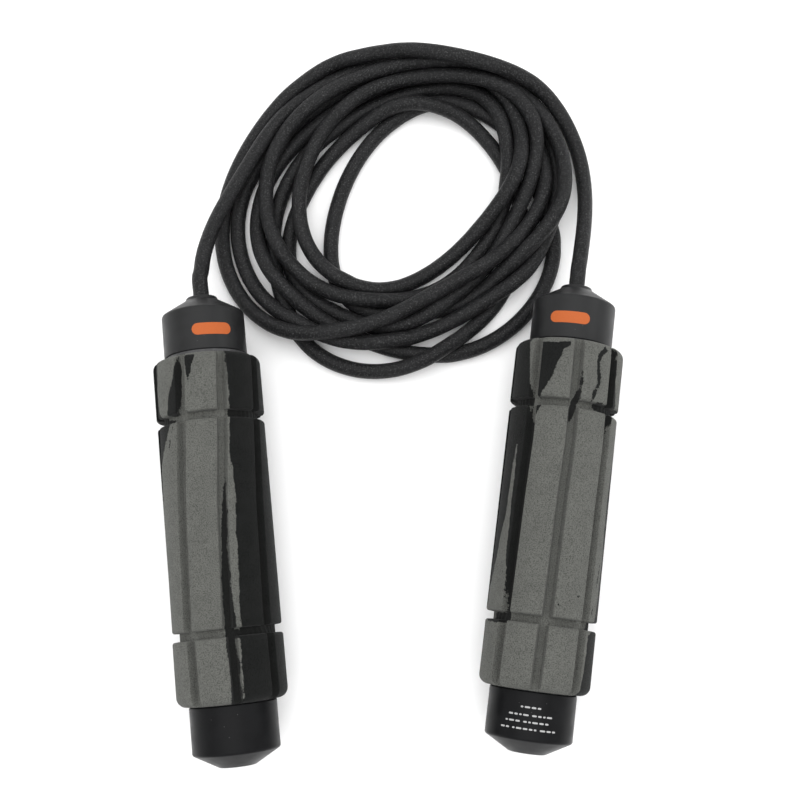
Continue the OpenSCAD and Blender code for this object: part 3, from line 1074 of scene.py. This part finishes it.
@dataclass
class Handle:
    """One whole handle: its skin pieces and its prints."""

    axis: Axis
    twist: tuple[Point2, ...]
    band_r: tuple[float, float, float]
    patches: tuple[Patch, ...]
    badge: Point2
    foam_front: float
    print_rows: tuple[Point3, ...] = ()
    badge_size: Point2 = (15.0, 4.4)
    dash_h: float = 0.6
    dash_short: float = 0.9
    dash_step: float = 0.35
    dash_gap: float = 0.5
    word_gap: float = 2.4

    def _dashes(self, radius: float) -> tuple[tuple[float, float, float, float], ...]:
        """Sets out the small dashes of the printed rows.

        Args:
            radius: the radius they are laid on.

        Returns:
            The dashes as (degrees, back, length, height).
        """
        out: list[tuple[float, float, float, float]] = []
        for row, (start, stop, back) in enumerate(self.print_rows):
            at, k = math.radians(start) * radius, 0
            while at < math.radians(stop) * radius:
                length = self.dash_short + self.dash_step * ((3 * k + 2 * row) % 4)
                out.append((math.degrees((at + length / 2) / radius), back, length, self.dash_h))
                at += length + self.dash_gap * (self.word_gap if (k + row) % 5 == 4 else 1.0)
                k += 1
        return tuple(out)

    def build(self, materials: dict[str, bpy.types.Material]) -> None:
        """Builds the skin pieces and prints.

        Args:
            materials: the finished materials by name.
        """
        side = self.axis.side.value
        bands = ((self.foam_front, FoamGrip.bands[0][1]), *FoamGrip.bands[1:])
        grip = FoamGrip(self.axis, self.twist, self.patches, bands, self.band_r).build(materials["grip_foam"])
        nose = FrontCap(self.axis).build(materials["nose_plastic"])
        tail = EndCap(self.axis).build(materials["tail_plastic"])
        badge = Print(self.axis, f"badge_bar_{side}", f"grip_unit_{side}", FrontCap.side_r,
                      ((*self.badge, *self.badge_size),)).build(materials["orange_ink"])
        pieces = [grip, nose, tail, badge]
        dashes = self._dashes(EndCap.side_r)
        if dashes:
            pieces.append(Print(self.axis, f"tail_dashes_{side}", f"cap_unit_{side}", EndCap.side_r,
                                dashes).build(materials["pale_ink"]))
        for piece in pieces:
            LOG.info("handle %s: %s, %d faces", side, piece.name, len(piece.data.polygons))


# ---------------------------------------------------------------- the works inside the handles


@dataclass(frozen=True)
class Works:
    """Finishes for the turned, pressed and moulded pieces that stay as the frame gives them."""

    axis: Axis

    def finishes(self) -> dict[str, Finish]:
        """Chooses a finish for every material slot of this handle's inner pieces.

        Returns:
            The finishes by slot.
        """
        along = tuple(self.axis.forward)
        side = self.axis.side.value

        def metal(name: str, colour: Colour, rough: float, pitch: float, relief: float = 0.15) -> MetalFinish:
            """Returns a metal finish whose rings go round this handle's axis."""
            return MetalFinish(f"{name}_{side}", colour, rough, pitch, relief, along)

        def plastic(name: str, colour: Colour, rough: float, grain: float,
                    wear: float = 0.3) -> PlasticFinish:
            """Returns a moulded finish."""
            worn = tuple(min(1.0, 2.2 * c + 0.03) for c in colour)
            return PlasticFinish(f"{name}_{side}", colour, worn, rough, grain, wear=wear)

        return {
            "tube_plastic": plastic("tube_plastic", (0.035, 0.035, 0.037), 0.5, 0.3),
            "bearing_steel": metal("bearing_steel", (0.60, 0.60, 0.61), 0.22, 0.12, 0.08),
            "ball_steel": metal("ball_steel", (0.72, 0.72, 0.73), 0.08, 0.3, 0.03),
            "cage_plastic": plastic("cage_plastic", (0.16, 0.11, 0.06), 0.5, 0.2),
            "shield_steel": metal("shield_steel", (0.52, 0.52, 0.53), 0.35, 0.2),
            "spring_steel": metal("spring_steel", (0.10, 0.10, 0.11), 0.42, 0.25),
            "turned_brass": metal("turned_brass", (0.72, 0.52, 0.22), 0.28, 0.18),
            "washer_steel": metal("washer_steel", (0.58, 0.58, 0.58), 0.3, 0.22),
            "collar_aluminium": metal("collar_aluminium", (0.74, 0.75, 0.76), 0.34, 0.2, 0.2),
            "screw_steel": metal("screw_steel", (0.22, 0.22, 0.23), 0.4, 0.15),
            "weight_steel": metal("weight_steel", (0.45, 0.45, 0.46), 0.38, 0.3, 0.2),
            "pad_foam": plastic("pad_foam", (0.05, 0.05, 0.052), 0.9, 0.5, 0.1),
            "seal_rubber": plastic("seal_rubber", (0.022, 0.022, 0.023), 0.75, 0.2, 0.1),
        }

    def dress(self, fx: Effects, slots: dict[str, str]) -> None:
        """Gives this side's inner pieces their materials.

        Args:
            fx: the shared effects.
            slots: node name to material slot.
        """
        made: dict[str, bpy.types.Material] = {}
        finishes = self.finishes()
        for node, slot in slots.items():
            if slot not in finishes or not node.endswith(self.axis.side.value):
                continue
            made.setdefault(slot, finishes[slot].material(fx))
            paint(frame["nodes"][node], made[slot])
            LOG.info("works: %s dressed in %s", node, made[slot].name)


# ---------------------------------------------------------------- cord


@dataclass
class Rope:
    """The cord: out of the right nose, nine loose turns on the floor, and into the left nose.

    reach and rise hold twelve steps for each turn: the distance from the middle of the turns, and the height
    that the step is dropped from before the cord settles. A point of a route is (share of the way from the
    nose to the turns, share aside, share of the nose's height).
    """

    left: Axis
    right: Axis
    diameter: float = 6.0
    inner_ends: tuple[float, ...] = (29.0, 20.0, 10.0, 0.0, -8.0)
    middle_aside: float = 10.15
    middle_ahead: float = 42.8
    entry_left: Point2 = (161.0, 62.5)
    entry_right: Point2 = (64.0, 66.5)
    route_left: tuple[Point3, ...] = (
        (0.24, -0.08, 0.97), (0.39, -0.1, 0.89), (0.54, -0.1, 0.77), (0.7, -0.08, 0.64),
        (0.85, -0.05, 0.52), (1.0, 0.0, 0.42))
    route_right: tuple[Point3, ...] = (
        (0.13, 0.07, 0.95), (0.25, 0.13, 0.8), (0.38, 0.18, 0.6), (0.51, 0.21, 0.43), (0.64, 0.21, 0.36),
        (0.76, 0.18, 0.36), (0.87, 0.12, 0.38))
    step_angle: float = 30.0
    first_step: int = 2
    last_step: int = 101
    reach: tuple[tuple[float, ...], ...] = (
        (69, 70, 67, 64, 65, 68, 75, 80, 61, 43, 38, 41), (51, 58, 60, 54, 50, 53, 62, 64, 57, 63, 65, 61),
        (53, 49, 48, 40, 32, 28, 30, 38, 51, 48, 43, 47), (59, 63, 62, 59, 58, 61, 60, 56, 48, 41, 37, 35),
        (37, 45, 54, 50, 44, 47, 54, 64, 74, 67, 53, 46), (38, 37, 42, 43, 40, 39, 44, 59, 58, 47, 41, 39),
        (44, 59, 64, 58, 51, 46, 47, 47, 45, 34, 27, 27), (34, 49, 61, 57, 55, 60, 70, 73, 64, 55, 50, 51),
        (55, 58, 60, 56, 57, 63, 75))
    rise: tuple[tuple[float, ...], ...] = (
        (16, 18, 22, 22, 18, 10, 6, 5, 12, 13, 13, 13), (11, 7, 6, 6, 6, 5, 5, 5, 7, 4, 3, 3),
        (4, 4, 4, 3, 3, 3, 3, 3, 3, 6, 9, 10), (9, 6, 7, 7, 7, 9, 10, 11, 10, 8, 7, 6),
        (6, 6, 6, 6, 5, 4, 4, 3, 3, 6, 6, 5), (4, 4, 5, 5, 5, 4, 5, 5, 5, 7, 8, 8),
        (10, 11, 10, 10, 10, 9, 7, 6, 6, 4, 4, 6), (9, 9, 8, 7, 6, 6, 6, 6, 7, 8, 8, 7),
        (5, 4, 4, 4, 4, 5, 8))
    lead_lift: float = 12.0
    lift_from: float = 0.4
    eye_level: float = 6.0
    point_gap: float = 2.4
    touch: float = 6.2
    crossing: float = 4.5
    near: float = 9.0
    skip: int = 4
    hold: float = 0.08
    last_hold: float = 0.15
    sink: float = 0.05
    sink_run: float = 40.0
    rounds: int = 700
    last_rounds: int = 90
    stiffness: tuple[tuple[int, float], ...] = ((1, 0.5), (3, 0.35), (5, 0.25))
    push_share: float = 1.3
    clearance: float = 0.2
    foam_edge: float = 24.9

    def _middle(self) -> np.ndarray:
        """Returns the middle of the turns on the floor."""
        noses = np.array([self.left.nose[:2], self.right.nose[:2]]) / MM
        return np.array([noses[:, 0].mean() + self.middle_aside, noses[0, 1] + self.middle_ahead])

    @staticmethod
    def _cubic(values: np.ndarray, at: np.ndarray) -> np.ndarray:
        """Runs a smooth curve through evenly spaced values.

        Args:
            values: the values.
            at: the steps to read it at, counted in values.

        Returns:
            What it reads there.
        """
        whole = np.clip(np.floor(at).astype(int), 0, len(values) - 2)
        t = at - whole
        a, b, c, d = (values[np.clip(whole + k, 0, len(values) - 1)] for k in (-1, 0, 1, 2))
        square, cube = a - 2.5 * b + 2 * c - d / 2, (d - a) / 2 + 1.5 * (b - c)
        return b + t * (c - a) / 2 + t * t * square + t ** 3 * cube

    def _turns(self) -> np.ndarray:
        """Works out the turns, step by step round their middle.

        Returns:
            Rows of (x, y, the height at which x and y hold, the height it is dropped from).
        """
        at = np.arange(self.first_step, self.last_step + 1e-6, 1 / 3)
        reach = self._cubic(np.array([v for row in self.reach for v in row], float), at)
        rise = self._cubic(np.array([v for row in self.rise for v in row], float), at)
        turn = np.radians(self.step_angle * at)
        middle = self._middle()
        x, y = middle[0] + reach * np.cos(turn), middle[1] + reach * np.sin(turn)
        return np.column_stack([x, y, np.full(len(at), self.eye_level), rise])

    def _lead(self, axis: Axis, entry: Point2, route: tuple[Point3, ...], lift: float) -> np.ndarray:
        """Lays one lead from inside the handle towards the turns.

        Args:
            axis: the handle it comes out of.
            entry: where the turns begin, as (degrees, distance) from their middle.
            route: points on the way as (share of the way, share aside, share of the nose's height).
            lift: how much higher its far part is dropped from.

        Returns:
            The lead's points, in the four columns of the turns.
        """
        inside = np.array([axis.behind(back)[:] for back in self.inner_ends]) / MM
        nose = np.array(axis.nose[:2]) / MM
        turn = math.radians(entry[0])
        way = self._middle() + entry[1] * np.array([math.cos(turn), math.sin(turn)]) - nose
        aside = np.array([way[1], -way[0]])
        height = axis.nose[2] / MM
        out = [[*(nose + along * way + off * aside), share * height,
                share * height + lift * max(0.0, along - self.lift_from)] for along, off, share in route]
        return np.concatenate([np.column_stack([inside, inside[:, 2]]), np.array(out)])

    @staticmethod
    def _smooth(points: np.ndarray, fine: int = 8) -> np.ndarray:
        """Runs a centripetal curve through the points.

        Args:
            points: the points in order.
            fine: pieces between two points.

        Returns:
            The finer line.
        """
        pts = np.concatenate([[2 * points[0] - points[1]], points, [2 * points[-1] - points[-2]]])
        gap = np.sqrt(np.linalg.norm(np.diff(pts, axis=0), axis=1))
        knot = np.concatenate([[0], np.cumsum(gap)])
        out = []
        for i in range(1, len(pts) - 2):
            t0, t1, t2, t3 = knot[i - 1:i + 3]
            p0, p1, p2, p3 = pts[i - 1:i + 3]
            t = np.linspace(t1, t2, fine, endpoint=False)[:, None]
            a1 = (t1 - t) / (t1 - t0) * p0 + (t - t0) / (t1 - t0) * p1
            a2 = (t2 - t) / (t2 - t1) * p1 + (t - t1) / (t2 - t1) * p2
            a3 = (t3 - t) / (t3 - t2) * p2 + (t - t2) / (t3 - t2) * p3
            b1 = (t2 - t) / (t2 - t0) * a1 + (t - t0) / (t2 - t0) * a2
            b2 = (t3 - t) / (t3 - t1) * a2 + (t - t1) / (t3 - t1) * a3
            out.append((t2 - t) / (t2 - t1) * b1 + (t - t1) / (t2 - t1) * b2)
        return np.concatenate([*out, pts[-2:-1]])

    @staticmethod
    def _even(points: np.ndarray, gap: float) -> np.ndarray:
        """Spaces the points of a line evenly.

        Args:
            points: the line.
            gap: the distance between two points.

        Returns:
            The same line with even points.
        """
        run = np.concatenate([[0], np.cumsum(np.linalg.norm(np.diff(points[:, :3], axis=0), axis=1))])
        at = np.linspace(0, run[-1], max(2, int(round(run[-1] / gap))) + 1)
        return np.column_stack([np.interp(at, run, column) for column in points.T])

    def _clear_handles(self, points: np.ndarray, free: np.ndarray) -> None:
        """Moves points out of the two noses and grips.

        Args:
            points: the line, changed in place.
            free: which points may move.
        """
        before = -0.01
        for axis in (self.left, self.right):
            nose, forward = np.array(axis.nose) / MM, np.array(axis.forward)
            rel = points - nose
            back = -(rel @ forward)
            off = rel + back[:, None] * forward
            far = np.linalg.norm(off, axis=1)
            need = np.interp(back, [before, 0.0, FrontCap.cone_end, FrontCap.rear, self.foam_edge],
                             [0.0, FrontCap.lip_r, FrontCap.side_r, FrontCap.side_r, FoamGrip.band_r[0]])
            need = np.where(back > before, need + self.diameter / 2 + self.clearance, 0.0)
            short = free & (far < need) & (far > 1e-6)
            points[short] += off[short] / far[short, None] * (need - far)[short, None] * 0.5

    def _pairs(self, points: np.ndarray) -> tuple[np.ndarray, np.ndarray]:
        """Finds points that lie near each other in plan but not along the cord.

        Args:
            points: the line so far.

        Returns:
            The numbers of the first and of the second point of each pair.
        """
        number = np.arange(len(points))
        flat = ((points[:, None, :2] - points[None, :, :2]) ** 2).sum(2)
        return np.nonzero((flat < self.near ** 2) & (number[None, :] - number[:, None] > self.skip))

    def _push(self, points: np.ndarray, first: np.ndarray, second: np.ndarray, early: bool) -> np.ndarray:
        """Works out how the cord pushes itself apart where two stretches touch.

        Args:
            points: the line so far.
            first: one point of each near pair.
            second: the other point of each near pair.
            early: whether crossings are only lifted, so that they keep their order.

        Returns:
            The move of every point.
        """
        count = len(points)
        step = points[second] - points[first]
        if early:
            flat_gap = np.hypot(step[:, 0], step[:, 1])
            need = np.sqrt(np.maximum(self.touch ** 2 - flat_gap ** 2, 0.0))
            lift = np.where(flat_gap < self.crossing, np.clip(need - np.abs(step[:, 2]), 0, None), 0.0)
            push = np.zeros_like(step)
            push[:, 2] = np.where(step[:, 2] >= 0, 1.0, -1.0) * lift * 0.5
        else:
            apart = np.linalg.norm(step, axis=1)
            deep = np.clip(self.touch - apart, 0, None)
            push = step / np.maximum(apart, 1e-6)[:, None] * (deep * 0.5)[:, None]
        hit = np.abs(push).sum(1) > 0
        total = np.zeros_like(points)
        share = np.zeros(count)
        for side, sign in ((first, -1.0), (second, 1.0)):
            for k in range(3):
                total[:, k] += np.bincount(side[hit], sign * push[hit, k], count)
            share += np.bincount(side[hit], minlength=count)
        return total / np.maximum(share, 1.0)[:, None] * self.push_share

    def _stiffen(self, points: np.ndarray, free: np.ndarray) -> None:
        """Takes sharp bends out of the line, over short and longer stretches.

        Args:
            points: the line, changed in place.
            free: which points may move.
        """
        for r, pull in self.stiffness:
            bend = np.zeros_like(points)
            bend[2 * r:-2 * r] = (points[:-4 * r] - 4 * points[r:-3 * r] + 6 * points[2 * r:-2 * r]
                                  - 4 * points[3 * r:-r] + points[4 * r:]) / 16.0
            points[free] -= pull * bend[free]

    def _settle(self, laid: np.ndarray) -> np.ndarray:
        """Lets the cord sink, rest on itself and on the floor, and stay smooth.

        A point that ends up above the height at which its plan holds keeps to its line of sight from the eye.

        Args:
            laid: the laid line, evenly spaced, in the four columns of the turns.

        Returns:
            The settled line.
        """
        count, eye, floor = len(laid), np.array(EYE), self.diameter / 2
        home, level = laid[:, :2], laid[:, 2]
        points = laid[:, [0, 1, 3]].copy()
        free = np.ones(count, bool)
        held = int(sum(abs(np.diff(self.inner_ends))) / self.point_gap) + 1
        free[:held] = free[-held:] = False
        lead = np.minimum(np.arange(count), np.arange(count)[::-1]) - held
        sink = self.sink * np.clip(lead / self.sink_run, 0.0, 1.0)
        for turn in range(self.rounds):
            hold = self.hold if turn < self.rounds - self.last_rounds else self.hold * self.last_hold
            if turn % 8 == 0:
                first, second = self._pairs(points)
            move = self._push(points, first, second, early=turn < self.rounds // 6)
            points[free] += move[free]
            points[free, 2] -= sink[free]
            near_eye = ((eye[2] - points[:, 2]) / (eye[2] - level))[:, None]
            points[free, :2] += hold * (eye[:2] + (home - eye[:2]) * near_eye - points[:, :2])[free]
            self._stiffen(points, free)
            self._clear_handles(points, free)
            points[:, 2] = np.where(free & (points[:, 2] < floor), floor, points[:, 2])
        return points

    def line(self) -> np.ndarray:
        """Lays the cord out and lets it settle.

        Returns:
            Its middle line as it lies, in millimetres.
        """
        right = self._lead(self.right, self.entry_right, self.route_right, self.lead_lift)
        left = self._lead(self.left, self.entry_left, self.route_left, 0.0)
        laid = self._even(self._smooth(np.concatenate([right, self._turns(), left[::-1]])), self.point_gap)
        return self._even(self._smooth(self._settle(laid), 3), self.point_gap * 0.8)

    def build(self, material: bpy.types.Material) -> bpy.types.Object:
        """Args:
            material: its skin.

        Returns:
            The finished cord.
        """
        line = self.line()
        curve = bpy.data.curves.new("rope_cord", "CURVE")
        curve.dimensions = "3D"
        curve.bevel_depth = self.diameter / 2 * MM
        curve.bevel_resolution = 6
        curve.use_fill_caps = True
        spline = curve.splines.new("POLY")
        spline.points.add(len(line) - 1)
        spline.points.foreach_set("co", np.column_stack([line * MM, np.ones(len(line))]).ravel())
        spline.use_smooth = True
        obj = linked("rope_cord", curve)
        curve.materials.append(material)
        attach(obj, "cord")
        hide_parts("rope_coil", "rope_lead_left", "rope_lead_right")
        return obj


# ---------------------------------------------------------------- studio


@dataclass(frozen=True)
class Studio:
    """The pale floor, the soft lights and the camera above it all."""

    camera_tilt: float = 10.4
    lens: float = 54.9
    floor_reach: float = 3.0
    floor_tone: float = 0.96
    sky: float = 1.2
    ceiling: float = 1.95
    ceiling_edge: Point2 = (0.78, 0.97)
    lit_point: Point3 = (0.0, 0.05, 0.0)
    softboxes: tuple[tuple[str, Point3, float, float], ...] = (
        ("overhead_softbox", (-0.15, 0.25, 1.0), 1.5, 5.0), ("side_softbox", (0.8, 0.3, 0.6), 0.4, 1.3))

    def _camera(self) -> None:
        """Hangs the camera over the rope, tilted a little towards its far end."""
        data = bpy.data.cameras.new("studio_camera")
        data.lens, data.sensor_width = self.lens, 36.0
        data.clip_start = 0.01
        camera = linked("studio_camera", data)
        camera.location = Vector(EYE) * MM
        camera.rotation_euler = (math.radians(self.camera_tilt), 0.0, 0.0)
        bpy.context.scene.camera = camera

    def _light(self, name: str, at: Point3, size: float, power: float) -> None:
        """Hangs one soft square light that looks at the rope.

        Args:
            name: the light's name.
            at: where it hangs, in metres.
            size: its side in metres.
            power: its power in watts.
        """
        data = bpy.data.lights.new(name, "AREA")
        data.shape, data.size, data.energy = "SQUARE", size, power
        light = linked(name, data)
        light.location = at
        light.rotation_euler = (Vector(self.lit_point) - Vector(at)).to_track_quat("-Z", "Y").to_euler()

    def _floor(self) -> None:
        """Lays the plain floor."""
        reach = self.floor_reach
        mesh = bpy.data.meshes.new("studio_floor")
        mesh.from_pydata([(-reach, -reach, 0), (reach, -reach, 0), (reach, reach, 0), (-reach, reach, 0)], [],
                         [(0, 1, 2, 3)])
        material = bpy.data.materials.new("studio_floor")
        material.use_nodes = True
        shader = material.node_tree.nodes["Principled BSDF"]
        shader.inputs["Base Color"].default_value = rgba([self.floor_tone] * 3)
        shader.inputs["Roughness"].default_value = 0.9
        shader.inputs["Specular IOR Level"].default_value = 0.1
        mesh.materials.append(material)
        floor = linked("studio_floor", mesh)

    def build(self) -> None:
        """Sets the whole studio up."""
        world = bpy.data.worlds.new("studio_world")
        world.use_nodes = True
        sky = world.node_tree.nodes["Background"]
        sky.inputs["Color"].default_value = (1.0, 1.0, 1.0, 1.0)
        n = Nodes(world.node_tree)
        up = n.add("SeparateXYZ", {0: n.add("TexCoord").outputs["Generated"]}).outputs["Z"]
        n.wire(sky, {"Strength": n.ramp(up, *self.ceiling_edge, self.sky, self.ceiling)})
        bpy.context.scene.world = world
        bpy.context.scene.view_settings.view_transform = "Standard"
        self._camera()
        for name, at, size, power in self.softboxes:
            self._light(name, at, size, power)
        self._floor()
        LOG.info("studio: camera, %d softboxes and floor", len(self.softboxes))


# ---------------------------------------------------------------- the two grips' colour patterns, with one painted crease shadow

LEFT_TWIST: tuple[Point2, ...] = ((24.8, 24.5), (48.0, 20.5), (63.0, 17.5), (80.0, 13.3), (100.0, 11.0),
                                  (126.3, 8.5), (129.3, 12.0), (152.3, 13.0))
RIGHT_TWIST: tuple[Point2, ...] = ((24.8, 3.3), (64.0, 4.2), (85.0, 2.0), (103.0, 1.0), (126.3, -0.5),
                                   (129.3, -3.0), (152.3, -4.8))

LEFT_PATCHES: tuple[Patch, ...] = (
    Patch(((-25.5, 27.0), (-30.7, 34.8), (-38.9, 41.0), (-43.9, 48.6), (-30.0, 48.6), (-26.2, 41.8),
           (-24.2, 32.6))),
    Patch(((-15.2, 27.4), (-4.0, 27.6), (-14.4, 38.5))),
    Patch(((27.8, 24.0), (28.9, 29.0), (28.4, 34.2), (28.7, 44.6), (29.0, 49.3), (27.7, 53.4), (25.4, 57.5),
           (24.6, 64.0), (25.5, 68.8), (26.8, 72.9), (26.9, 81.7), (25.1, 90.6), (24.5, 99.0),
           (23.5, 108.0), (22.5, 116.8), (22.0, 126.9), (20.4, 130.2), (19.5, 140.0), (20.2, 150.2),
           (17.0, 151.0), (17.0, 153.0), (205.0, 153.0), (214.0, 120.0), (190.0, 82.0), (206.0, 50.0),
           (194.0, 24.0))),
    Patch(((19.8, 71.5), (17.4, 75.2), (14.3, 80.2), (12.4, 85.0), (10.2, 92.0), (8.1, 98.9), (5.5, 110.5),
           (5.7, 122.0), (4.9, 127.7), (6.0, 130.6), (6.3, 136.2), (7.4, 142.5), (7.8, 147.5), (5.5, 153.0),
           (19.0, 153.0), (18.4, 150.3), (17.2, 145.1), (17.8, 139.5), (16.4, 133.8), (15.8, 130.3),
           (22.5, 130.1), (22.5, 126.7), (16.9, 126.7), (16.6, 122.4), (15.1, 110.8), (15.8, 106.2),
           (15.0, 102.1), (15.5, 96.2), (16.9, 90.4), (18.2, 81.5))),
    Patch(((-120.0, 26.0), (-54.0, 26.0), (-59.5, 35.2), (-61.0, 43.0), (-54.0, 49.5), (-40.0, 50.0),
           (-40.3, 51.6), (-44.2, 54.0), (-48.8, 56.9), (-60.0, 63.0), (-72.4, 68.5), (-84.0, 80.0),
           (-118.0, 92.0))),
    Patch(((-33.6, 51.5), (-36.0, 51.5), (-40.0, 56.0), (-45.0, 60.6), (-42.0, 56.8), (-37.2, 54.0))),
    Patch(((-33.4, 131.4), (-32.2, 131.4), (-31.2, 138.0), (-29.4, 138.6), (-28.9, 133.6), (-28.1, 133.6),
           (-28.6, 139.8), (-32.0, 139.4))),
    Patch(((-150.0, 62.0), (-132.0, 76.0), (-121.0, 100.0), (-134.0, 126.0), (-139.0, 153.0),
           (-168.0, 153.0), (-171.0, 120.0), (-163.0, 88.0))),
)

RIGHT_PATCHES: tuple[Patch, ...] = (
    Patch(((-126.0, 24.0), (-52.3, 24.0), (-52.0, 29.3), (-48.9, 38.5), (-44.8, 48.8), (-46.0, 52.0),
           (-43.5, 57.5), (-37.8, 58.5), (-37.9, 64.6), (-39.0, 75.0), (-40.4, 86.4), (-40.3, 98.0),
           (-42.7, 106.2), (-43.6, 112.1), (-44.2, 118.6), (-44.4, 126.0), (-44.9, 130.2), (-78.0, 130.2),
           (-78.0, 127.0), (-49.5, 126.4), (-49.4, 122.2), (-51.0, 116.4), (-51.4, 110.4), (-54.2, 104.5),
           (-54.3, 94.4), (-55.2, 86.5), (-54.6, 78.0), (-55.4, 66.0), (-56.0, 63.2), (-59.8, 74.8),
           (-61.2, 86.5), (-62.4, 93.4), (-67.2, 98.6), (-71.4, 106.4), (-75.6, 112.4), (-79.0, 116.0),
           (-95.0, 124.0), (-128.0, 127.0))),
    Patch(((-38.7, 28.0), (-5.8, 27.6), (-6.2, 28.7), (-12.6, 30.5), (-15.2, 33.8), (-18.6, 37.0),
           (-21.9, 40.7), (-26.8, 44.4), (-31.2, 47.4), (-36.2, 48.5), (-36.4, 40.0))),
    Patch(((9.3, 37.0), (8.2, 43.6), (5.7, 45.8), (0.6, 49.1), (-0.6, 52.8), (-0.5, 58.2), (0.6, 57.6),
           (6.0, 53.8), (8.7, 49.4), (10.5, 44.6), (10.5, 39.8))),
    Patch(((33.0, 26.8), (25.8, 30.0), (23.6, 33.6), (26.0, 37.8), (27.4, 41.0), (23.0, 44.0), (22.0, 48.5),
           (24.6, 47.4), (27.5, 44.0), (31.5, 41.5), (30.6, 38.0), (27.6, 33.4), (29.5, 30.8),
           (35.5, 28.4))),
    Patch(((41.0, 26.0), (44.0, 32.0), (46.5, 39.7), (47.5, 49.6), (62.0, 49.6), (58.5, 44.0), (56.0, 39.0),
           (54.5, 32.0), (53.5, 26.0))),
    Patch(((74.0, 24.0), (74.0, 32.0), (75.0, 40.0), (78.0, 50.0), (140.0, 50.0), (132.0, 24.0))),
    Patch(((29.4, 48.3), (80.0, 48.3), (80.0, 51.3), (46.0, 51.3), (29.4, 50.0))),
    Patch(((44.4, 51.0), (45.5, 60.7), (44.4, 66.0), (43.4, 79.5), (42.6, 96.0), (44.2, 96.0), (45.6, 79.5),
           (47.6, 66.0), (50.6, 61.3), (54.0, 56.0), (57.4, 51.0))),
    Patch(((78.0, 50.0), (75.0, 60.0), (70.0, 72.0), (67.0, 81.8), (66.9, 93.9), (69.6, 102.8),
           (69.0, 110.6), (67.4, 115.4), (66.7, 120.8), (63.1, 126.2), (60.0, 129.3), (51.4, 131.0),
           (51.5, 138.6), (48.7, 144.9), (46.9, 150.1), (46.0, 153.0), (150.0, 153.0), (138.0, 122.0),
           (156.0, 92.0), (141.0, 62.0), (152.0, 50.0))),
    Patch(((63.0, 104.0), (64.3, 104.0), (58.4, 119.3), (51.7, 126.6), (50.3, 126.6), (56.7, 119.3))),
    Patch(((-37.4, 51.4), (-30.2, 51.5), (-37.3, 57.0))),
    # painted shade: this thin dark line stands for the shadow in a crease across the middle band, not for black
    # foam
    Patch(((5.8, 122.7), (14.3, 120.9), (21.4, 119.7), (31.1, 118.1), (39.9, 116.6), (39.9, 116.1),
           (31.1, 117.6), (21.4, 119.2), (14.3, 120.3), (5.8, 121.9))),
    Patch(((-180.0, 42.0), (-152.0, 62.0), (-157.0, 100.0), (-174.0, 130.0), (-200.0, 112.0),
           (-206.0, 62.0))),
)


# ---------------------------------------------------------------- the whole


def main() -> None:
    """Builds the studio, the cord, both handles and the works inside them."""
    logging.basicConfig(level=logging.INFO, format="%(name)s: %(message)s")
    fx = Effects()
    Studio().build()
    left, right = (Axis.of(side, bearing_mid=13.5) for side in (Side.LEFT, Side.RIGHT))
    Rope(left, right).build(CordFinish("cord_skin").material(fx))
    materials = {
        "grip_foam": FoamFinish("grip_foam").material(fx),
        "nose_plastic": PlasticFinish("nose_plastic", (0.011, 0.0113, 0.0118), (0.04, 0.04, 0.04),
                                      shine=0.205).material(fx),
        "tail_plastic": PlasticFinish("tail_plastic", (0.0052, 0.0054, 0.0060), (0.025, 0.025, 0.025),
                                      rough=0.36, shine=0.09).material(fx),
        "orange_ink": InkFinish("orange_ink").material(fx),
        "pale_ink": InkFinish("pale_ink", colour=(0.37, 0.37, 0.37)).material(fx),
    }
    Handle(left, LEFT_TWIST, (20.0, 19.8, 20.0), LEFT_PATCHES, badge=(19.0, 17.2), foam_front=26.4
           ).build(materials)
    Handle(right, RIGHT_TWIST, (20.2, 20.1, 20.1), RIGHT_PATCHES, badge=(-11.0, 17.0), foam_front=25.6,
           print_rows=((-20.0, 3.0, 158.0), (-35.0, 18.0, 160.7), (-39.0, 22.0, 163.0),
                       (-45.0, 29.0, 165.4))).build(materials)
    slots = {part["node"]: part["material_slot"] for part in frame["record"]["subparts"]}
    for axis in (left, right):
        Works(axis).dress(fx, slots)
    bpy.context.view_layer.update()


if __name__ == "__main__":
    main()
